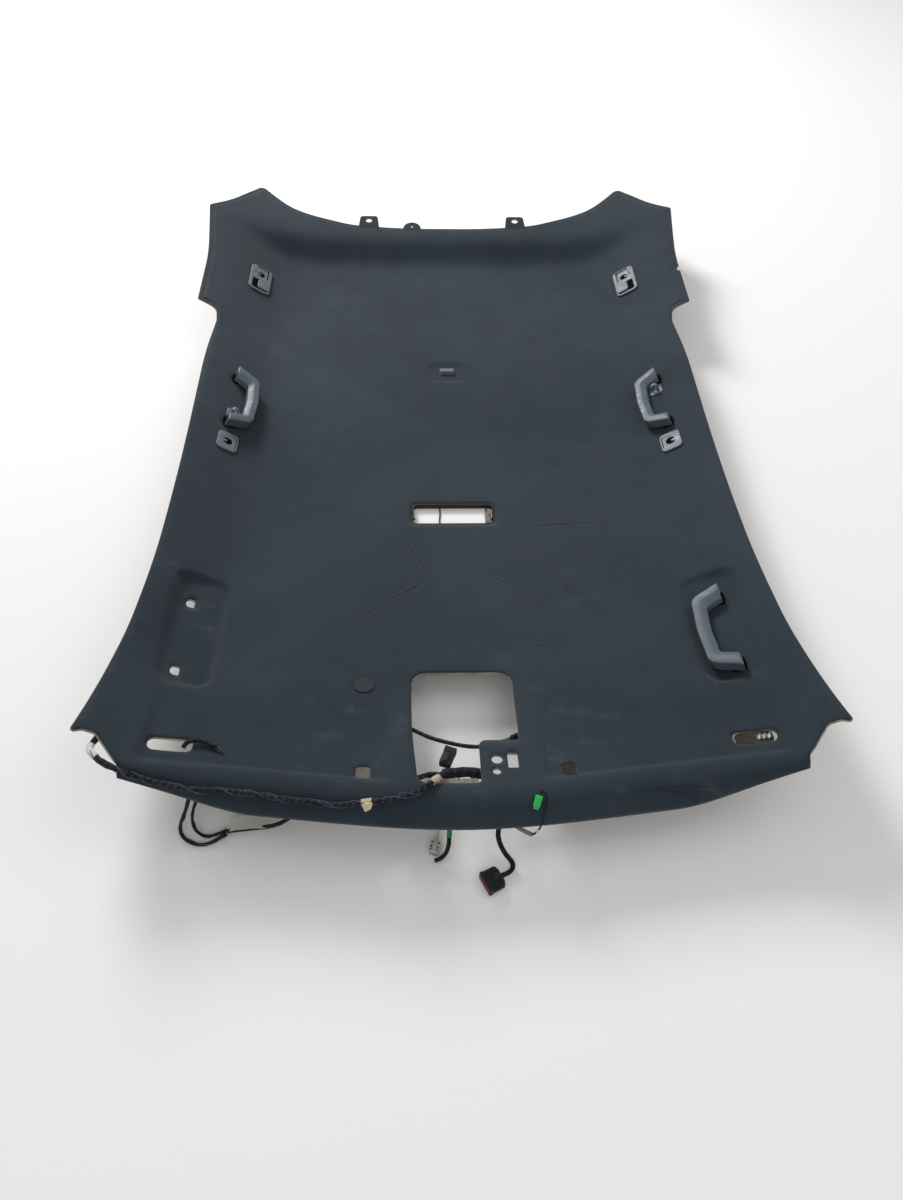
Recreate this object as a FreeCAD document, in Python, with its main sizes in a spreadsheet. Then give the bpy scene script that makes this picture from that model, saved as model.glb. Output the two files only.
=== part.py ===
import FreeCAD, Part
import Sketcher
import os
from math import atan, cos, hypot, pi, radians, sin, sqrt, tan

os.makedirs("parts", exist_ok=True)
doc = FreeCAD.newDocument("Headliner")
vec = FreeCAD.Vector

# Driving dimensions in millimetres, x to the right, y to the rear, z into the cabin
sizes = {
    "panelWall": 6.0,
    "waistHalf": 571.0,
    "frontTipHalf": 614.3,
    "frontTipY": -910.8,
    "kneeHalf": 540.2,
    "kneeY": -950.8,
    "notchHalf": 630.7,
    "notchY": 417.7,
    "notchRadius": 28.0,
    "wingHalf": 661.0,
    "wingY": 870.4,
    "tailHalf": 533.0,
    "tailY": 1048.5,
    "rearEdgeY": 887.0,
    "lipRadius": 50.0,
    "lipEndRadius": 22.0,
    "lipTurn": 72.0,
    "crestY": -982.0,
    "crestEndDrop": 40.0,
    "sideSlope": 0.68,
    "sideStartInset": 121.0,
    "sideRampWide": 110.0,
    "rearWallY": 768.0,
    "rearWallDeep": 60.0,
    "flatMiddleY": 185.0,
    "pocketInset": 87.5,
    "pocketWide": 99.0,
    "pocketY": -633.0,
    "pocketLong": 272.0,
    "pocketDeep": 7.0,
    "pocketSlopeX": 0.45,
    "pocketSlopeY": -0.06,
    "visorRecessDeep": 8.0,
    "surroundWide": 40.0,
    "visorRecessHalf": 525.0,
    "clipRecessY": 261.0,
    "clipRecessWide": 104.0,
    "clipRecessDeep": 3.5,
    "consoleHalf": 89.0,
    "consoleRearY": -726.0,
    "consoleFrontY": -975.0,
    "consoleCorner": 27.0,
    "tongueX": 22.0,
    "tongueRearY": -885.0,
    "domeHalf": 90.0,
    "domeY": -265.0,
    "domeDeep": 66.0,
    "domeCorner": 14.0,
    "visorSlotX": 477.0,
    "visorSlotY": -893.0,
    "visorSlotLong": 69.0,
    "visorSlotDeep": 26.0,
    "clipHoleX": 166.0,
    "clipHoleY": -946.0,
    "clipHoleWide": 23.0,
    "plugX": -172.0,
    "plugY": -756.0,
    "plugDiameter": 35.6,
    "tabLong": 46.0,
    "tabWide": 64.0,
    "tabHole": 19.0,
    "tabLeftX": -215.0,
    "tabRightX": 217.0,
    "halfTabX": -88.0,
    "halfTabRadius": 26.0,
    "nickY": 575.0,
    "nickDeep": 12.0,
    "nickLong": 17.0,
    "frontHandleInset": 68.0,
    "frontHandleY": -650.0,
    "rearHandleInset": 57.0,
    "rearHandleY": 68.0,
    "handleLong": 202.0,
    "barLong": 157.0,
    "handleReach": 57.0,
    "legWide": 33.0,
    "barWide": 24.5,
    "handleLow": 4.0,
    "handleHigh": 28.0,
    "barCorner": 18.0,
    "barInnerCorner": 8.0,
    "footRound": 8.0,
    "handleEdge": 2.5,
    "footCentre": 81.0,
    "pivotIn": 8.0,
    "pivotUp": 14.0,
    "slotWide": 18.0,
    "slotDeep": 15.5,
    "slotTop": 21.0,
    "lugWide": 16.6,
    "lugRound": 6.0,
    "plateWide": 28.0,
    "plateDeep": 24.0,
    "plateThick": 2.8,
    "bossDiameter": 11.0,
    "bossLong": 9.5,
    "socketDiameter": 20.0,
    "pinDiameter": 4.0,
    "pinLong": 25.6,
    "pinFit": 0.03,
    "pinRunning": 0.08,
    "seatGap": 0.3,
    "hookPlate": 32.0,
    "hookPlateThick": 2.5,
    "hookWide": 9.0,
    "hookHigh": 21.0,
    "hookThick": 4.5,
    "hookAlong": 47.0,
    "hookIn": 15.0,
    "bezelInset": 69.0,
    "bezelY": -79.0,
    "bezelLong": 57.0,
    "bezelDeep": 48.0,
    "bezelThick": 4.0,
    "bezelCorner": 11.0,
    "studDiameter": 17.0,
    "studFit": 0.5,
    "bracketInset": 68.0,
    "bracketY": 607.0,
    "bracketLong": 112.0,
    "bracketDeep": 60.0,
    "bracketThick": 4.5,
    "bracketCorner": 13.0,
    "studAlong": 21.0,
    "slotRing": 20.0,
    "slotTongueWide": 7.0,
    "grooveWide": 1.4,
    "grooveDeep": 1.4,
    "grooveInset": 5.5,
    "darkSlotWide": 7.0,
    "darkSlotLong": 32.0,
    "darkSlotIn": 8.0,
    "pocketCutLong": 45.0,
    "pocketCutWide": 46.0,
    "pocketCutDeep": 3.6,
    "padLong": 41.0,
    "padWide": 35.0,
    "padRise": 1.8,
    "padCorner": 6.0,
    "clipPlateLong": 36.0,
    "clipPlateDeep": 24.0,
    "clipTabLong": 33.0,
    "clipTabDeep": 12.0,
    "clipTabHigh": 7.0,
    "clipBehind": 7.0,
    "plugCapThick": 2.0,
    "plugStemWall": 3.4,
    "plugStemLong": 6.0,
    "holeFit": 0.3,
    "bracketPlateThick": 2.0,
    "bracketSunk": 5.8,
    "bracketEndGap": 3.5,
    "bracketShift": 0.6,
    "prongWide": 2.2,
    "prongDeep": 9.0,
    "prongHigh": 5.4,
    "prongPitch": 8.0,
    "visorClipThick": 3.0,
    "visorClipSunk": 6.0,
    "domeClipThick": 3.0,
    "domeClipWide": 24.0,
    "domeClipHigh": 8.0,
    "feltLong": 86.0,
    "feltWide": 23.0,
    "feltThick": 5.0,
    "feltX": -25.0,
    "feltY": -972.0,
    "retainerWall": 4.0,
    "retainerLow": 5.6,
    "retainerHigh": 12.4,
}
sheet = doc.addObject("Spreadsheet::Sheet", "Sizes")
for row, (alias, value) in enumerate(sizes.items(), start=1):
    sheet.set("A%d" % row, alias)
    sheet.set("B%d" % row, str(value))
    sheet.setAlias("B%d" % row, alias)
doc.recompute()
nodes = {}


def cell(alias):
    return float(sheet.get(alias))


def keep(label, item):
    item.Label = label
    nodes[label] = item
    return item


# The curved sheet: height of its cabin face over the surface that the panel lies on
wall = cell("panelWall")
waist = cell("waistHalf")


def softRamp(distance, blend):
    return 0.5 * (distance + sqrt(distance * distance + blend * blend))


def smoothStep(part):
    part = max(0.0, min(1.0, part))
    return part * part * (3.0 - 2.0 * part)


def window(place, low, high, edge):
    return smoothStep((place - low) / edge) * smoothStep((high - place) / edge)


def crest(x):
    return cell("crestY") + cell("crestEndDrop") * smoothStep(abs(x) / 480.0)


def pocketDrop(x, y):
    """The front handle pocket: its floor is a plane under the handle's feet."""
    inner = waist - cell("pocketInset") - cell("pocketWide") / 2
    half = cell("pocketLong") / 2
    across = window(abs(x), inner, inner + cell("pocketWide"), 13.0)
    along = window(y, cell("pocketY") - half, cell("pocketY") + half, 15.0)
    if across * along == 0.0:
        return 0.0
    footX = waist - cell("frontHandleInset")
    footY = cell("frontHandleY")
    floor = rawHeight(footX, footY) - cell("pocketDeep")
    floor += cell("pocketSlopeX") * (abs(x) - footX) + cell("pocketSlopeY") * (y - footY)
    return (rawHeight(x, y) - floor) * across * along


def visorDrop(x, y):
    inner = cell("consoleHalf") + cell("surroundWide") - 11.0
    across = window(abs(x), inner, cell("visorRecessHalf"), 15.0)
    front = smoothStep((y - crest(x) - 3.0) / 14.0)
    fade = 1.0 - smoothStep((y + 900.0) / 150.0)
    return cell("visorRecessDeep") * across * front * fade


def clipDrop(x, y):
    half = cell("clipRecessWide") / 2
    across = window(x, -half, half, 11.0)
    along = window(y - cell("clipRecessY"), -half, half, 11.0)
    return cell("clipRecessDeep") * across * along


def rawHeight(x, y):
    out = abs(x)
    crown = 1.2e-4 * softRamp(-37.0 - y, 60.0) ** 2 + 0.7e-4 * softRamp(y - 408.0, 60.0) ** 2
    crown += 2.0e-4 * softRamp(out - 230.0, 80.0) ** 2
    forward = smoothStep((-467.0 - y) / 430.0)
    slope = cell("sideSlope") - 0.13 * forward
    start = waist - cell("sideStartInset") + 70.0 * forward
    end = start + cell("sideRampWide")
    side = slope * (softRamp(out - start, 50.0) - softRamp(out - end, 50.0))
    side += 0.15 * softRamp(out - end, 50.0)
    rearTop = cell("rearWallY") + cell("rearWallDeep")
    rear = softRamp(y - cell("rearWallY"), 30.0) - softRamp(y - rearTop, 30.0)
    return wall + crown + side + softRamp(rear - side, 24.0) - softRamp(-side, 24.0)


restRise = rawHeight(0, cell("flatMiddleY")) - wall


def height(x, y):
    return rawHeight(x, y) - restRise - pocketDrop(x, y) - visorDrop(x, y) - clipDrop(x, y)


def slopes(x, y):
    alongX = (height(x + 1.0, y) - height(x - 1.0, y)) / 2
    alongY = (height(x, y + 1.0) - height(x, y - 1.0)) / 2
    return alongX, alongY


def lipRadiusAt(x):
    shrink = cell("lipRadius") - cell("lipEndRadius")
    return cell("lipRadius") - shrink * smoothStep((abs(x) - 330.0) / 230.0)


def cabinPoint(x, place):
    """A point of the cabin face: place under 0 runs down the front roll, else it is a y."""
    start = crest(x)
    if place[0] == "flat":
        shift = (start - cell("crestY")) * (1.0 - smoothStep((place[1] - cell("crestY")) / 150.0))
        y = place[1] + shift
        return vec(x, y, height(x, y))
    tilt = atan(-slopes(x, start)[1])
    radius = lipRadiusAt(x)
    turn = tilt + place[1] * (tilt + radians(cell("lipTurn")))
    y = start + radius * (sin(turn) - sin(tilt))
    return vec(x, y, height(x, start) + radius * (cos(turn) - cos(tilt)))


def stations(start, end, edges, fine, coarse):
    """Places from start to end, close together at each edge and wider between."""
    places = [start]
    while places[-1] < end - fine:
        gap = min(abs(places[-1] + fine - edge) for edge in edges)
        places.append(places[-1] + min(coarse, max(fine, 0.9 * gap)))
    places[-1] = end
    return places


def greville(knots):
    full = [knots[0]] * 3 + knots + [knots[-1]] * 3
    return [sum(full[i + 1:i + 4]) / 3 for i in range(len(knots) + 2)]


def splineFace(points, knotsU, knotsV):
    face = Part.BSplineSurface()
    multsU = [4] + [1] * (len(knotsU) - 2) + [4]
    multsV = [4] + [1] * (len(knotsV) - 2) + [4]
    face.buildFromPolesMultsKnots(points, multsU, multsV, knotsU, knotsV, False, False, 3, 3)
    return face.toShape()


cabinFace = []


def onFace(x, y):
    """The point and the normal of the finished cabin face over a place in plan."""
    surface = cabinFace[0]
    v = y
    for _ in range(12):
        v += y - surface.value(x, v).y
    alongX, alongY = surface.tangent(x, v)
    return surface.value(x, v), alongX.cross(alongY).normalize()


def sheetSolid():
    pocketIn = waist - cell("pocketInset") - cell("pocketWide") / 2
    strip = cell("consoleHalf") + cell("surroundWide")
    edgesX = [strip, pocketIn + 6.0, pocketIn + cell("pocketWide") - 6.0, cell("visorRecessHalf")]
    edgesX += [cell("clipRecessWide") / 2 - 5.0]
    half = stations(0.0, cell("wingHalf") + 30.0, edgesX, 12.0, 120.0)
    knotsX = [-x for x in reversed(half[1:])] + half
    pocketHalf = cell("pocketLong") / 2 - 7.0
    clipHalf = cell("clipRecessWide") / 2 - 5.0
    rearTop = cell("rearWallY") + cell("rearWallDeep")
    edgesY = [cell("crestY") + 10.0, cell("pocketY") - pocketHalf, cell("pocketY") + pocketHalf]
    edgesY += [cell("clipRecessY") - clipHalf, cell("clipRecessY") + clipHalf]
    edgesY += [cell("rearWallY"), (cell("rearWallY") + rearTop) / 2, rearTop]
    rows = stations(cell("crestY"), cell("tailY") + 20.0, edgesY, 12.0, 120.0)
    rollLong = 70.0
    rollRows = [cell("crestY") - rollLong * (4 - k) / 4 for k in range(4)]
    knotsY = rollRows + rows
    top = []
    for x in greville(knotsX):
        line = []
        for y in greville(knotsY):
            if y < cell("crestY"):
                line.append(cabinPoint(x, ("roll", (y - cell("crestY")) / rollLong)))
            else:
                line.append(cabinPoint(x, ("flat", y)))
        top.append(line)
    bottom = []
    for i, line in enumerate(top):
        row = []
        for j, point in enumerate(line):
            alongX = top[min(i + 1, len(top) - 1)][j] - top[max(i - 1, 0)][j]
            alongY = line[min(j + 1, len(line) - 1)] - line[max(j - 1, 0)]
            normal = alongX.cross(alongY).normalize()
            row.append(point - normal * wall + vec(0, 0, clipDrop(point.x, point.y)))
        bottom.append(row)
    faces = [splineFace(top, knotsX, knotsY), splineFace(bottom, knotsX, knotsY)]
    cabinFace.append(faces[0].Surface)
    for edge in faces[0].Edges:
        middle = edge.CenterOfMass
        partner = min(faces[1].Edges, key=lambda other: (other.CenterOfMass - middle).Length)
        faces.append(Part.makeRuledSurface(edge, partner))
    shell = Part.makeShell(faces)
    shell.sewShape()
    return Part.makeSolid(shell)


# Outlines: corners with a radius, or with None for the widest arc that fits between its neighbours
def roundedWire(corners, z):
    count = len(corners)
    places = [vec(x, y, z) for x, y, radius in corners]
    starts = []
    edges = []
    for i in range(count):
        here = places[i]
        back = places[i - 1] - here
        ahead = places[(i + 1) % count] - here
        turn = pi - back.getAngle(ahead)
        shorter = min(back.Length, ahead.Length)
        reach = 0.49 * shorter
        if corners[i][2] is not None:
            reach = min(reach, corners[i][2] * tan(turn / 2))
        radius = reach / tan(turn / 2)
        first = here + back.normalize() * reach
        last = here + ahead.normalize() * reach
        inward = (back + ahead).normalize()
        centre = here + inward * hypot(radius, reach)
        middle = centre - inward * radius
        starts.append((first, last))
        edges.append(Part.Arc(first, middle, last).toShape())
    ring = []
    for i in range(count):
        ring.append(edges[i])
        last = starts[i][1]
        first = starts[(i + 1) % count][0]
        if (first - last).Length > 1e-6:
            ring.append(Part.LineSegment(last, first).toShape())
    return Part.Wire(ring)


def prism(corners, low, high):
    return Part.Face(roundedWire(corners, low)).extrude(vec(0, 0, high - low))


def rectangle(x, y, halfX, halfY, radius):
    return [(x - halfX, y - halfY, radius), (x + halfX, y - halfY, radius),
            (x + halfX, y + halfY, radius), (x - halfX, y + halfY, radius)]


def panelOutline():
    frontTip = cell("frontTipHalf")
    tipY = cell("frontTipY")
    wing = cell("wingHalf")
    wingY = cell("wingY")
    notch = cell("notchHalf")
    notchY = cell("notchY")
    tail = cell("tailHalf")
    tailY = cell("tailY")
    half = [
        (cell("kneeHalf") + 6.0, cell("crestY") - 170.0, 2.0),
        (cell("kneeHalf"), cell("kneeY"), 8.0),
        (frontTip - 33.3, tipY + 10.0, 12.0),
        (frontTip - 16.0, tipY + 11.0, 12.0),
        (frontTip, tipY, 6.0),
        (frontTip - 21.0, tipY + 148.0, None),
        (waist + 9.6, tipY + 244.0, None),
        (waist, tipY + 400.0, None),
        (waist + 8.0, notchY - 477.0, None),
        (waist + 13.0, notchY - 210.0, None),
        (waist + 6.0, notchY - 66.0, cell("notchRadius") * 4),
        (waist + 13.0, notchY - 16.0, cell("notchRadius")),
        (notch, notchY, 6.0),
        (notch + 2.5, notchY + 103.0, None),
        (notch + 4.3, notchY + 222.0, None),
        (wing, wingY, 12.0),
        (wing - 52.7, wingY + 56.0, None),
        (tail + 25.4, tailY - 40.0, None),
        (tail, tailY, 14.0),
        (tail - 33.5, tailY - 32.0, None),
        (tail - 83.0, tailY - 75.0, None),
        (tail - 144.0, tailY - 101.0, None),
        (tail - 206.0, tailY - 121.0, None),
        (tail - 266.0, cell("rearEdgeY") + 20.0, None),
        (120.0, cell("rearEdgeY") + 3.5, None),
    ]
    return half + [(-x, y, radius) for x, y, radius in reversed(half)]


# A local frame on the sheet: its x runs along the car, its y inboard and its z out of the sheet
def seat(side, inset, y):
    x = side * (waist - inset)
    return seatAt(x, y, side)


def seatAt(x, y, side):
    point, normal = onFace(x, y)
    inboard = vec(-side, 0, 0)
    inboard = (inboard - normal * inboard.dot(normal)).normalize()
    along = inboard.cross(normal).normalize()
    matrix = FreeCAD.Matrix(along.x, inboard.x, normal.x, point.x, along.y, inboard.y, normal.y,
                            point.y, along.z, inboard.z, normal.z, point.z, 0, 0, 0, 1)
    return FreeCAD.Placement(matrix)


def lifted(place, low, high):
    """The seat raised until a plate over the given rectangle clears the sheet by the seat gap."""
    rise = 0.0
    for i in range(5):
        for j in range(5):
            spot = vec(low[0] + (high[0] - low[0]) * i / 4, low[1] + (high[1] - low[1]) * j / 4, 0)
            world = place.multVec(spot)
            point, normal = onFace(world.x, world.y)
            rise = max(rise, (point - world).dot(place.Rotation.multVec(vec(0, 0, 1))))
    return place.multiply(FreeCAD.Placement(vec(0, 0, rise), FreeCAD.Rotation()))


def handleSeats():
    reach = cell("footCentre") + cell("plateWide") / 2
    low = (-reach, cell("pivotIn") - cell("plateDeep") / 2)
    high = (reach, cell("pivotIn") + cell("plateDeep") / 2)
    return {
        "front_right": lifted(seat(1, cell("frontHandleInset"), cell("frontHandleY")), low, high),
        "rear_right": lifted(seat(1, cell("rearHandleInset"), cell("rearHandleY")), low, high),
        "rear_left": lifted(seat(-1, cell("rearHandleInset"), cell("rearHandleY")), low, high),
    }


def anchorSeat(side):
    half = (cell("bezelLong") / 2, cell("bezelDeep") / 2)
    return lifted(seat(side, cell("bezelInset"), cell("bezelY")), (-half[0], -half[1]), half)


def bracketSeat(side):
    half = (cell("bracketLong") / 2, cell("bracketDeep") / 2)
    return lifted(seat(side, cell("bracketInset"), cell("bracketY")), (-half[0], -half[1]), half)


def plugSeat():
    half = cell("plugDiameter") / 2
    return lifted(seatAt(cell("plugX"), cell("plugY"), -1), (-half, -half), (half, half))


def placedPrism(place, corners, low, high):
    shape = prism(corners, low, high)
    shape.Placement = place
    return shape


def socketCorners(x):
    """The D-shaped socket that a handle's boss drops into."""
    radius = cell("socketDiameter") / 2
    flat = 0.6 * radius
    return [(x - radius, -flat, radius * 0.95), (x + radius, -flat, radius * 0.95),
            (x + radius, radius, 3.0), (x - radius, radius, 3.0)]


def panelTab(x, wide, long, hole):
    """A flat ear behind the rear edge, tilted up, with a round hole."""
    edge = cell("rearEdgeY") + 6.0
    low = height(x, edge) - wall
    base = prism([(-wide / 2, -14.0, 4.0), (wide / 2, -14.0, 4.0), (wide / 2 - 7.0, long, 9.0),
                  (-wide / 2 + 7.0, long, 9.0)], 0.0, wall)
    base = base.cut(Part.makeCylinder(hole / 2, 3 * wall, vec(0, long - 17.0, -wall)))
    base.Placement = FreeCAD.Placement(vec(x, edge, low), FreeCAD.Rotation(vec(1, 0, 0), 15))
    return base


def halfRoundTab(x, radius, hole):
    edge = cell("rearEdgeY")
    low = height(x, edge) - wall
    base = Part.makeCylinder(radius, wall, vec(0, 0, 0))
    base = base.cut(Part.makeCylinder(hole / 2, 3 * wall, vec(0, 10.0, -wall)))
    base.Placement = FreeCAD.Placement(vec(x, edge, low), FreeCAD.Rotation(vec(1, 0, 0), 15))
    return base


def panelCutters():
    """Everything cut through the sheet."""
    low = -20.0
    high = 260.0
    half = cell("consoleHalf")
    front = cell("consoleFrontY")
    tongue = cell("tongueX")
    console = [(-half + 11.0, front, 22.0), (tongue, front, 8.0),
               (tongue, cell("tongueRearY"), 12.0), (half, cell("tongueRearY"), 6.0),
               (half, cell("consoleRearY"), cell("consoleCorner")),
               (-half, cell("consoleRearY"), cell("consoleCorner")), (-half, front + 120.0, None)]
    cutters = [prism(console, low, high)]
    cutters.append(prism(rectangle(0, cell("domeY"), cell("domeHalf"), cell("domeDeep") / 2,
                                   cell("domeCorner")), low, high))
    cutters.append(Part.makeCylinder(9.5, high - low, vec(tongue + 27.5, -926.0, low)))
    cutters.append(Part.makeCylinder(7.0, high - low, vec(tongue + 25.6, -951.0, low)))
    cutters.append(prism(rectangle(tongue + 53.0, -929.0, 8.5, 15.5, 2.0), low, high))
    hole = cell("clipHoleWide") / 2
    for side in (-1, 1):
        cutters.append(prism(rectangle(side * cell("clipHoleX"), cell("clipHoleY"), hole, hole, 5.0),
                             low, high))
        cutters.append(prism(rectangle(side * cell("visorSlotX"), cell("visorSlotY"),
                                       cell("visorSlotLong") / 2, cell("visorSlotDeep") / 2, 10.0),
                             low, high))
    reach = 4 * wall
    sockets = [(plugSeat(), 0.0, cell("plugDiameter") / 2 - 3.0)]
    for side in (-1, 1):
        sockets.append((anchorSeat(side), 0.0, cell("studDiameter") / 2 + cell("studFit")))
        sockets.append((bracketSeat(side), side * cell("studAlong"),
                        cell("studDiameter") / 2 + cell("studFit")))
    for place, along, radius in sockets:
        hole = Part.makeCylinder(radius, 2 * reach, vec(along, 0, -reach))
        hole.Placement = place
        cutters.append(hole)
    for place in handleSeats().values():
        for end in (-1, 1):
            cutters.append(placedPrism(place, socketCorners(end * cell("footCentre")), -reach, reach))
    empty = seat(-1, cell("frontHandleInset"), cell("frontHandleY"))
    for end in (-1, 1):
        cutters.append(placedPrism(empty, socketCorners(end * cell("footCentre")), -reach, reach))
    nick = rectangle(cell("notchHalf") + 8.0, cell("nickY"), cell("nickDeep"), cell("nickLong") / 2, 3.0)
    cutters.append(prism(nick, low, high))
    return cutters


def buildPanel():
    sheetBody = sheetSolid()
    outline = prism(panelOutline(), -20.0, 320.0)
    body = sheetBody.common(outline)
    tabs = [panelTab(cell("tabLeftX"), cell("tabWide"), cell("tabLong"), cell("tabHole")),
            panelTab(cell("tabRightX"), cell("tabWide"), cell("tabLong"), cell("tabHole")),
            halfRoundTab(cell("halfTabX"), cell("halfTabRadius"), 9.0)]
    body = body.fuse(tabs)
    body = body.cut(Part.makeCompound(panelCutters()))
    item = keep("headliner_panel", doc.addObject("Part::Feature", "headliner_panel"))
    item.Shape = body.Solids[0] if len(body.Solids) == 1 else body


buildPanel()


def bound(kind, name, **cells):
    """An object whose sizes are bound to the sheet."""
    item = doc.addObject(kind, name)
    for prop, text in cells.items():
        item.setExpression(prop, text)
    return item


def boxAt(name, size, corner):
    item = bound("Part::Box", name, Length=size[0], Width=size[1], Height=size[2])
    for axis, text in zip("xyz", corner):
        item.setExpression("Placement.Base." + axis, text)
    return item


def rodAt(name, radius, length, start, turn):
    item = bound("Part::Cylinder", name, Radius=radius, Height=length)
    item.Placement = FreeCAD.Placement(vec(0, 0, 0), turn)
    for axis, text in zip("xyz", start):
        item.setExpression("Placement.Base." + axis, text)
    return item


def fused(name, items):
    item = doc.addObject("Part::MultiFuse", name)
    item.Shapes = items
    return item


def minus(name, base, tool):
    item = doc.addObject("Part::Cut", name)
    item.Base = base
    item.Tool = tool
    return item


def filleted(name, base, radius, chosen):
    """A fillet on the edges that the test picks."""
    doc.recompute()
    item = doc.addObject("Part::Fillet", name)
    item.Base = base
    picked = [i + 1 for i, edge in enumerate(base.Shape.Edges) if chosen(edge)]
    item.Edges = [(i, radius, radius) for i in picked]
    return item


def upright(edge):
    ends = [v.Point for v in edge.Vertexes]
    return len(ends) == 2 and hypot(ends[0].x - ends[1].x, ends[0].y - ends[1].y) < 0.01


turnUp = FreeCAD.Rotation(vec(0, 0, 1), 0)
turnAlong = FreeCAD.Rotation(vec(0, 1, 0), 90)


# Handle feet: a plate with a boss in the sheet's socket and a lug that carries the pin
def buildFoot(label, place, end):
    side = "(%d) * Sizes.footCentre" % end
    plate = boxAt(label + "_plate", ("Sizes.plateWide", "Sizes.plateDeep", "Sizes.plateThick"),
                  (side + " - Sizes.plateWide / 2", "Sizes.pivotIn - Sizes.plateDeep / 2", "Sizes.seatGap"))
    lug = boxAt(label + "_lug", ("Sizes.lugWide", "2 * Sizes.lugRound", "Sizes.pivotUp - Sizes.seatGap"),
                (side + " - Sizes.lugWide / 2", "Sizes.pivotIn - Sizes.lugRound", "Sizes.seatGap"))
    crown = rodAt(label + "_crown", "Sizes.lugRound", "Sizes.lugWide",
                  (side + " - Sizes.lugWide / 2", "Sizes.pivotIn", "Sizes.pivotUp"), turnAlong)
    boss = rodAt(label + "_boss", "Sizes.bossDiameter / 2", "Sizes.bossLong + 2 * Sizes.seatGap",
                 (side, "0", "-Sizes.bossLong"), turnUp)
    body = fused(label + "_body", [plate, lug, crown, boss])
    bore = rodAt(label + "_bore", "Sizes.pinDiameter / 2 + Sizes.pinFit", "2 * Sizes.lugWide",
                 (side + " - Sizes.lugWide", "Sizes.pivotIn", "Sizes.pivotUp"), turnAlong)
    foot = minus(label, body, bore)
    foot.Placement = place
    return keep(label, foot)


def buildPin(label, place, end):
    middle = vec(end * cell("footCentre") - cell("pinLong") / 2, cell("pivotIn"), cell("pivotUp"))
    pin = bound("Part::Cylinder", label, Radius="Sizes.pinDiameter / 2", Height="Sizes.pinLong")
    pin.Placement = place.multiply(FreeCAD.Placement(middle, turnAlong))
    return keep(label, pin)


# The grab handle: a padded plan outline of a bar and two splayed legs, slotted for its feet
def originPlane(body, role):
    return next(item for item in body.Origin.OriginFeatures if item.Role == role)


def cornerSketch(body, name, role, corners):
    """A closed sketch whose corners are held to the sheet's values."""
    sketch = body.newObject("Sketcher::SketchObject", name)
    sketch.AttachmentSupport = (originPlane(body, role), [""])
    sketch.MapMode = "FlatFace"
    places = [vec(sheet.evalExpression(x), sheet.evalExpression(y), 0) for x, y in corners]
    count = len(places)
    for i in range(count):
        sketch.addGeometry(Part.LineSegment(places[i], places[(i + 1) % count]), False)
    for i in range(count):
        sketch.addConstraint(Sketcher.Constraint("Coincident", i, 2, (i + 1) % count, 1))
    for i, (x, y) in enumerate(corners):
        for kind, text, value in (("DistanceX", x, places[i].x), ("DistanceY", y, places[i].y)):
            if abs(value) < 1e-9:
                continue
            index = sketch.addConstraint(Sketcher.Constraint(kind, -1, 1, i, 1, value))
            sketch.setExpression("Constraints[%d]" % index, text)
    return sketch


def mirrored(corners):
    return [("-(%s)" % x, y) for x, y in reversed(corners)]


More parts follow.
